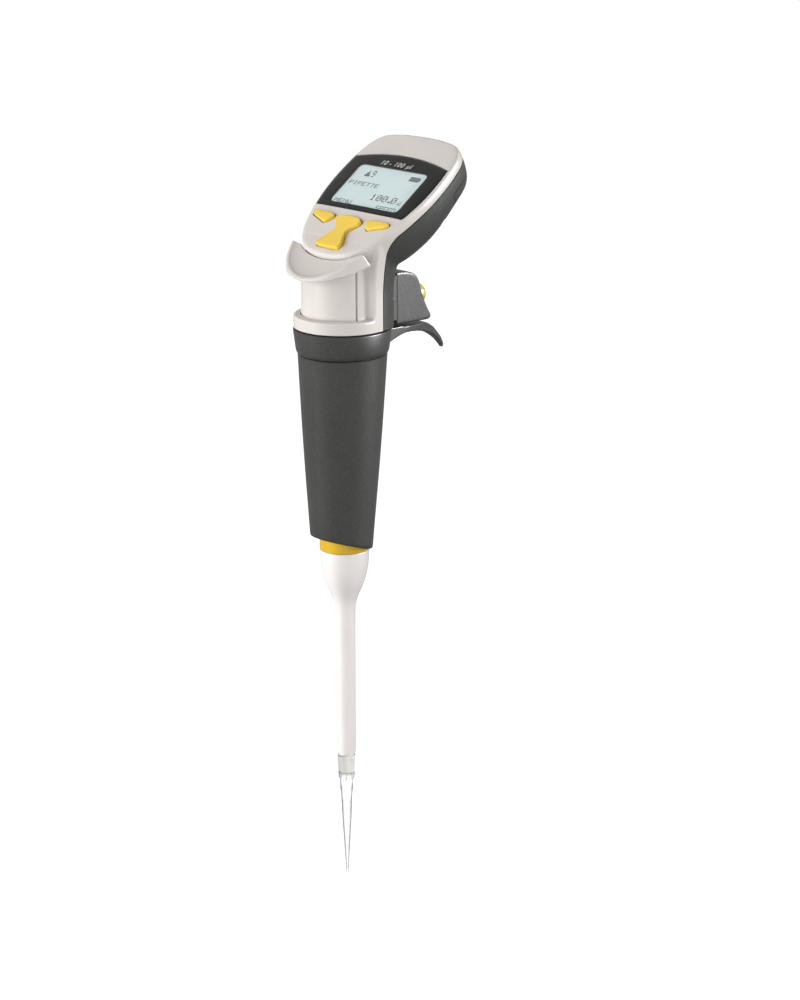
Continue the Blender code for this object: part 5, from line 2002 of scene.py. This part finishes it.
@dataclass
class Grip:
    """The handle, the swivel collar with its hook, and the trigger block behind the neck."""

    form: HeadForm
    handle_radius: float = 16.9 * MM
    foot_radius: float = 12.3 * MM
    foot_shift: float = -1.15 * MM
    slant: float = 0.30
    top: float = -0.3 * MM
    length: float = 75.1 * MM
    thin_below: float = -68 * MM
    sides: int = 180
    wall: float = 1.5 * MM
    hook_half_width: float = 6.5 * MM
    block_half_width: float = 8.0 * MM
    button_bore: float = 4.6 * MM
    spring_bore: float = 2.3 * MM
    trigger_at: Matrix = field(default_factory=lambda: Matrix.Translation((0, 35.0 * MM, 15.8 * MM))
                               @ Matrix.Rotation(math.radians(15) - math.pi / 2, 4, "X"))

    def wall_point(self, angle: float, z: float, step_in: float) -> tuple[float, float, float]:
        """A point on the handle's tapered wall, moved in by a distance.

        Args:
            angle: Its direction from the axis.
            z: Its height.
            step_in: The distance.

        Returns:
            The point.
        """
        share = min(max(-z / (70 * MM), 0.0), 1.2)
        bow = 0.25 * MM * math.sin(math.pi * min(share, 1.0))
        radius = self.handle_radius + (self.foot_radius - self.handle_radius) * share + bow - step_in
        shift = self.foot_shift * share
        return (radius * math.cos(angle), shift + radius * math.sin(angle), z)

    def section(self, step_in: float, share: float, foot_wall: float | None = None) -> list[Point3]:
        """A ring of the handle's wall, some share of the way from its top to its slanted foot.

        Args:
            step_in: How far inside the outer skin it lies.
            share: How far down it lies, from 0 to 1.
            foot_wall: How far inside it lies near the foot, where that differs.

        Returns:
            The ring's points.
        """
        ring = []
        for i in range(self.sides):
            angle = 2 * math.pi * i / self.sides
            y = self.wall_point(angle, -self.length, 0)[1]
            foot = -self.length - self.slant * y
            z = self.top + (foot - self.top) * share
            thin = foot_wall is not None and z <= self.thin_below
            ring.append(self.wall_point(angle, z, foot_wall if thin else step_in))
        return ring

    def handle(self) -> Piece:
        """The tapered grip with its slanted, rounded foot.

        Returns:
            The handle with its spigot.
        """
        rows: list[tuple[float, float]] = [(0.9 * MM, 0.0), (0.3 * MM, 0.0015), (0.0, 0.006)]
        rows += [(0.0, 0.02 + 0.96 * i / 40) for i in range(41)]
        rows += [(0.05 * MM, 0.9905), (0.22 * MM, 0.9965), (0.5 * MM, 1.0), (0.85 * MM, 1.0)]
        rings = []
        rings += [self.section(step_in, share) for step_in, share in rows]
        foot_wall = rows[-1][0]
        for i in range(13):
            share = 1.0 - i / 12
            rings.append(self.section(self.wall, share, foot_wall))
        shell = skin("grip_shell", rings, closed=True)
        spigot = turned("spigot", scaled([(15.8, 9.3), (15.8, -1.0), (14.2, -1.0), (14.2, 9.3)]), 120)
        carve(spigot, Cut.REMOVE, block("skirt_way", (-FAR, -FAR, 2 * MM), (FAR, -4.4 * MM, FAR)))
        top = self.top / MM - 0.02
        shoulder = turned("shoulder", scaled([(16.2, top), (16.2, -1.6), (14.2, -1.6), (14.2, top)]), 120)
        carve(shell, Cut.JOIN, shoulder, spigot)
        return smooth(shell, 40)

    def hook(self) -> Piece:
        """The curved finger hook, tapering in plan, with a curved underside and softened edges.

        Returns:
            The hook.
        """
        top = through([
            (16.9, 6.9), (25.0, 6.5), (33.0, 5.9), (39.0, 5.6), (44.3, 3.1), (47.6, 0.3), (50.2, -2.4),
            (52.2, -5.6),
        ], 8)
        under = through([
            (51.4, -7.0), (50.1, -5.1), (47.9, -2.7), (43.5, 0.2), (36.5, 2.5), (31.6, 3.4), (27.1, 3.7),
            (22.8, 2.9), (16.9, 0.8),
        ], 8)
        body = side_prism("hook", scaled(top + under), self.hook_half_width)
        half = [
            (6.5, 12.0), (6.5, 26.0), (6.0, 30.5), (5.0, 35.5), (3.7, 40.5), (2.6, 44.5), (1.9, 47.6),
            (1.4, 50.0), (0.9, 51.8),
        ]
        plan = through([*half, (0.0, 52.7), *((-x, y) for x, y in reversed(half))], 8)
        carve(body, Cut.KEEP, prism("hook_plan", scaled(plan), -FAR, FAR))
        remeshed(body, 0.25 * MM)
        relaxed(body, 7)
        return body

    def collar(self) -> Piece:
        """The swivel collar with its chamfered foot and its hook.

        Returns:
            The collar with its hook.
        """
        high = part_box("finger_rest")[1]
        wide = high.x
        profile = [
            (wide - 0.55 * MM, high.z), (wide - 0.12 * MM, high.z - 0.2 * MM), (wide, high.z - 0.6 * MM),
            *scaled([(17.62, 1.7), (17.55, 1.2), (17.25, 0.35), (16.95, 0.0), (16.1, 0.0)]),
            (16.1 * MM, high.z),
        ]
        ring = turned("collar", profile, 200)
        hook = carve(self.hook(), Cut.REMOVE, rod("collar_bore", 16.6 * MM, -FAR, FAR, 96))
        return smooth(carve(ring, Cut.JOIN, hook), 34)

    def trigger_block(self) -> Piece:
        """The block behind the neck, rounded all over, with the button's bore.

        Returns:
            The block.
        """
        outline = through([
            (21.6, 28.0), (26.0, 27.7), (29.9, 26.3), (32.1, 23.7), (33.4, 19.8), (35.1, 15.4), (37.2, 11.5),
            (38.5, 9.3), (38.2, 8.1), (37.0, 7.5),
        ], 6)
        side = scaled([*outline, (20.4, 7.9), (20.4, 27.9)])
        body = side_prism("trigger_block", side, self.block_half_width)
        remeshed(body, 0.3 * MM)
        relaxed(body, 14)
        foot = block("foot", (-7.8 * MM, 14 * MM, 9.9 * MM), (7.8 * MM, 21.4 * MM, 27 * MM))
        carve(body, Cut.JOIN, carve(foot, Cut.REMOVE, self.form.neck("neck_room", 0.25 * MM, 0.0)))
        carve(body, Cut.REMOVE, rod("bore", self.button_bore, -5.4 * MM, 20 * MM, 80, self.trigger_at))
        carve(body, Cut.REMOVE, rod("spring_bore", self.spring_bore, -9.2 * MM, 0, 40, self.trigger_at))
        low, high = (-3.4 * MM, -4.3 * MM, -12.3 * MM), (3.4 * MM, 4.3 * MM, -8.6 * MM)
        carve(body, Cut.REMOVE, block("switch_slot", low, high, self.trigger_at))
        return smooth(body, 34)

    def trigger_button(self) -> Piece:
        """The domed yellow button on its stem.

        Returns:
            The button.
        """
        profile = [(0.0, 6.2), (1.2, 6.12), (2.3, 5.8), (3.2, 5.25), (3.85, 4.55), (4.2, 3.8), (4.3, 3.1)]
        dome = scaled(through(profile, 5))
        rest = scaled([(4.3, -3.4), (1.2, -3.4), (1.2, -6.9), (0.0, -6.9)])
        bm = bmesh.new()
        steps = 96
        angles = [2 * math.pi * i / steps for i in range(steps)]
        rows = []
        for radius, height in dome + rest:
            spread = angles if radius > 0.001 * MM else [0.0]
            rows.append([bm.verts.new((radius * math.cos(a), radius * math.sin(a), height)) for a in spread])
        for upper, lower in zip(rows, rows[1:]):
            for i in range(steps):
                j = (i + 1) % steps
                if len(upper) == 1:
                    bm.faces.new((upper[0], lower[i], lower[j]))
                elif len(lower) == 1:
                    bm.faces.new((upper[i], lower[0], upper[j]))
                else:
                    bm.faces.new((upper[i], lower[i], lower[j], upper[j]))
        return smooth(from_bmesh("trigger_cap", bm, self.trigger_at), 40)

    def build(self) -> None:
        """Makes and dresses the grip."""
        finish_piece(self.handle(), DARK, Body.CASING, ["handle_shell"])
        finish_piece(self.collar(), DARK, Body.REST, ["finger_rest"])
        finish_piece(self.trigger_block(), DARK, Body.CASING, ["trigger_housing"])
        finish_piece(self.trigger_button(), LIME, Body.TRIGGER, ["trigger_button"])
        low, high = -8.6 * MM, -3.95 * MM
        spring("trigger_coil", 1.75 * MM, 0.22 * MM, low, high, 5.0, self.trigger_at, "trigger_spring")


# ---------------------------------------------------------------- tip and drive

@dataclass
class Tip:
    """The disposable tip."""

    ribs: int = 8
    rib_radius: float = 0.26 * MM
    rib_place: tuple[float, float] = (3.06 * MM, -171.0 * MM)
    rib_length: float = 2.9 * MM

    def wall(self) -> Piece:
        """The thin clear wall, from the collar to the orifice.

        Returns:
            The wall.
        """
        outer = [
            (3.50, -162.55), (3.56, -162.8), (3.50, -163.2), (3.36, -165.5), (3.26, -169.2), (3.12, -169.6),
            (3.02, -172.3), (2.66, -172.9), (2.60, -176.5), (2.52, -176.9), (2.56, -177.6), (2.34, -178.2),
            (2.2, -182.0), (1.80, -190.7), (1.3, -199.5), (0.9, -206.0), (0.44, -213.2), (0.36, -213.4),
        ]
        inner = [
            (0.22, -213.4), (0.62, -206.0), (0.92, -199.5), (1.45, -190.7), (1.78, -182.0), (2.02, -178.2),
            (2.08, -176.8), (2.62, -171.4), (2.9, -163.0), (3.1, -162.4), (3.3, -162.4),
        ]
        points = scaled(outer + inner)
        return smooth(turned("tip_wall", points, 96), 40)

    def collar_ribs(self) -> Piece:
        """The short ribs below the tip's collar.

        Returns:
            The ribs, as one mesh.
        """
        radius, height = self.rib_place
        pattern = Pattern("tip_ribs", {"Radius": radius, "Height": height, "Length": self.rib_length})
        circle = pattern.node("GeometryNodeMeshCircle", {}, {
            "Vertices": self.ribs, "Radius": pattern.size("Radius")})
        fin = pattern.node("GeometryNodeMeshCylinder", {}, {
            "Vertices": 12, "Radius": self.rib_radius, "Depth": pattern.size("Length")})
        lift = pattern.node("ShaderNodeCombineXYZ", {}, {2: pattern.size("Height")})
        moved = pattern.node("GeometryNodeTransform", {}, {
            "Geometry": circle.outputs["Mesh"], "Translation": lift.outputs[0]})
        spread = pattern.node("GeometryNodeInstanceOnPoints", {}, {
            "Points": moved.outputs[0], "Instance": fin.outputs["Mesh"]})
        seed = point_cloud("rib_seed", [(0, 0, 0)])
        return smooth(pattern.made("tip_ribs", seed, spread.outputs["Instances"], CLEAR_TIP), 40)

    def build(self) -> None:
        """Makes and dresses the tip."""
        finish_piece(self.wall(), CLEAR_TIP, Body.TIP, ["pipette_tip"])
        finish_piece(self.collar_ribs(), CLEAR_TIP, Body.TIP)


@dataclass
class Works:
    """What the casing holds. Most of it keeps its CAD shape and gets its finish."""

    pitch: float = 2.0 * MM
    core_radius: float = 1.3 * MM
    crest: float = 0.2 * MM
    finishes: dict[str, object] = field(default_factory=lambda: {
        "keypad_mat": RUBBER, "circuit_board": BOARD, "battery_cell": WRAP, "battery_connector": INNER,
        "trigger_switch": INNER, "friction_ring": RUBBER, "drive_frame": INNER, "drive_motor": STEEL,
        "drive_nut": BRASS, "piston_carriage": INNER, "piston": STEEL, "piston_seal": RUBBER,
        "seal_retainer": BRASS, "tip_cone": WHITE, "ejector_rod": STEEL, "block_screw_1": STEEL,
        "block_screw_2": STEEL,
    })

    def thread(self) -> Piece:
        """The lead screw: a core with a coarse thread wound round it.

        Returns:
            The screw.
        """
        low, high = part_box("lead_screw")
        pitch = self.pitch
        turns = (high.z - low.z) / pitch - 3
        radius = self.core_radius - self.crest / 10
        sizes = {"Turns": turns, "Radius": radius, "Height": turns * pitch, "Wire": self.crest}
        pattern = Pattern("lead_screw", sizes)
        lift = pattern.node("GeometryNodeTransform", {}, {
            "Geometry": spiral(pattern, 24, 6), "Translation": (0, 0, low.z + 1.5 * pitch)})
        both = pattern.node("GeometryNodeJoinGeometry", {}, {"Geometry": lift.outputs[0]})
        pattern.tree.links.new(pattern.start.outputs["Geometry"], both.inputs["Geometry"])
        core = rod("screw_core", self.core_radius, low.z, high.z, 32)
        return smooth(pattern.made("lead_screw_thread", core, both.outputs[0], STEEL), 40)

    def build(self) -> None:
        """Dresses the inner pieces."""
        for node, finish in self.finishes.items():
            part = frame["nodes"][node]
            part.data.materials.clear()
            part.data.materials.append(material_of(finish))
            LOG.info("%s dressed as %s", node, getattr(finish, "name"))
        finish_piece(self.thread(), STEEL, Body.CARRIAGE, ["lead_screw"])


# ---------------------------------------------------------------- studio

@dataclass
class Studio:
    """The pale sheet, the soft lights and the camera."""

    azimuth: float = math.radians(48.0)
    distance: float = 0.9408
    height: float = 0.2270
    heading: float = math.radians(-1.3)
    pitch: float = math.radians(16.88)
    roll: float = math.radians(-0.17)
    lens: float = 92.84
    sky: tuple[tuple[float, float], ...] = ((0.0, 0.10), (0.45, 0.30), (0.7, 0.52), (1.0, 0.55))
    floor_drop: float = 0.16
    floor_half: float = 14.0
    card_place: tuple[float, float, float] = (0, 0.25, -0.27)
    card_size: tuple[float, float] = (0.13, 0.36)
    aim: tuple[float, float, float] = (0, 0, -0.02)

    def floor(self) -> None:
        """A wide pale sheet below the tip. It's kept out of the diffuse light, so undersides stay shaded."""
        bm = bmesh.new()
        bmesh.ops.create_grid(bm, x_segments=2, y_segments=2, size=self.floor_half)
        sheet = from_bmesh("studio_floor", bm, Matrix.Translation((0, 0, CAD_BOX[0][2] - self.floor_drop)))
        sheet.data.materials.append(material_of(PaleSheet()))
        for kind in ("diffuse", "glossy", "transmission"):
            setattr(sheet, "visible_" + kind, False)

    def card(self) -> None:
        """A narrow lit card behind the tip, which only the clear plastic shows."""
        bm = bmesh.new()
        bmesh.ops.create_grid(bm, x_segments=2, y_segments=2, size=0.5)
        turn = Matrix.Rotation(self.azimuth, 4, "Z") @ Matrix.Translation(self.card_place)
        upright = Matrix.Rotation(math.pi / 2, 4, "X") @ Matrix.Diagonal((*self.card_size, 1, 1))
        sheet = from_bmesh("studio_card", bm, turn @ upright)
        sheet.data.materials.append(material_of(PaleSheet("card_sheet", 0.95)))
        for kind in ("camera", "diffuse", "glossy", "shadow"):
            setattr(sheet, "visible_" + kind, False)

    def camera(self) -> None:
        """The camera, level with the keys and looking slightly down."""
        a, heading, pitch = self.azimuth, self.azimuth + self.heading, self.pitch
        place = Vector((math.sin(a) * self.distance, -math.cos(a) * self.distance, self.height))
        level = Vector((-math.sin(heading), math.cos(heading), 0))
        ahead = level * math.cos(pitch) - Vector((0, 0, math.sin(pitch)))
        right = ahead.cross(Vector((0, 0, 1))).normalized()
        up = right.cross(ahead)
        c, s = math.cos(self.roll), math.sin(self.roll)
        right, up = c * right + s * up, -s * right + c * up
        data = bpy.data.cameras.new("studio_camera")
        data.lens = self.lens
        data.sensor_width = 36
        data.clip_start, data.clip_end = 0.05, 60
        cam = bpy.data.objects.new("studio_camera", data)
        cam.matrix_world = Matrix((
            (right.x, up.x, -ahead.x, place.x), (right.y, up.y, -ahead.y, place.y),
            (right.z, up.z, -ahead.z, place.z), (0, 0, 0, 1)))
        bpy.context.scene.collection.objects.link(cam)
        bpy.context.scene.camera = cam

    def light(self, name: str, place: Point3, size: float, power: float, without: Sequence[str]) -> None:
        """A soft square light aimed at the handle, with the kinds of ray that it doesn't serve.

        Args:
            name: Its name.
            place: Where it stands.
            size: Its width.
            power: Its power in watts.
            without: The kinds of ray that it doesn't serve.
        """
        data = bpy.data.lights.new(name, "AREA")
        data.size = size
        data.energy = power
        lamp = bpy.data.objects.new(name, data)
        lamp.location = place
        for kind in without:
            setattr(lamp, "visible_" + kind, False)
        aim = Vector(self.aim) - Vector(place)
        lamp.rotation_euler = aim.to_track_quat("-Z", "Y").to_euler()
        bpy.context.scene.collection.objects.link(lamp)

    def build(self) -> None:
        """Sets up the studio."""
        world = bpy.data.worlds.new("studio_world")
        world.use_nodes = True
        tree = world.node_tree
        where = add_node(tree, "ShaderNodeTexCoord", {}, {})
        split = add_node(tree, "ShaderNodeSeparateXYZ", {}, {0: where.outputs["Generated"]})
        height = add_node(tree, "ShaderNodeMapRange", {}, {"Value": split.outputs["Z"], "From Min": -1.0})
        stops = [(place, (grey, grey, grey, 1)) for place, grey in self.sky]
        sky = add_node(tree, "ShaderNodeValToRGB", {"stops": stops}, {0: height.outputs[0]})
        tree.links.new(sky.outputs[0], tree.nodes["Background"].inputs["Color"])
        bpy.context.scene.world = world
        bpy.context.scene.view_settings.view_transform = "Standard"
        self.floor()
        self.card()
        self.camera()
        self.light("left_light", (-0.65, -0.95, 0.05), 1.0, 18.0, ("glossy",))
        self.light("right_light", (0.87, 0.70, 0.25), 0.5, 8.0, ("glossy",))
        self.light("front_light", (0.70, -0.64, -0.20), 0.8, 4.6, ("glossy",))
        self.light("rim_light", (0.87, 0.70, 0.25), 0.32, 48.0, ("diffuse",))
        LOG.info("studio ready")


def main() -> None:
    """Builds every piece in order."""
    logging.basicConfig(level=logging.INFO, format="%(name)s: %(message)s")
    form = HeadForm()
    keys = KeyPlan()
    display = Display(form)
    display.build()
    Covers(form, keys, display).build()
    Ejector(form).build()
    Grip(form).build()
    Tip().build()
    Works().build()
    Studio().build()


if __name__ == "__main__":
    main()
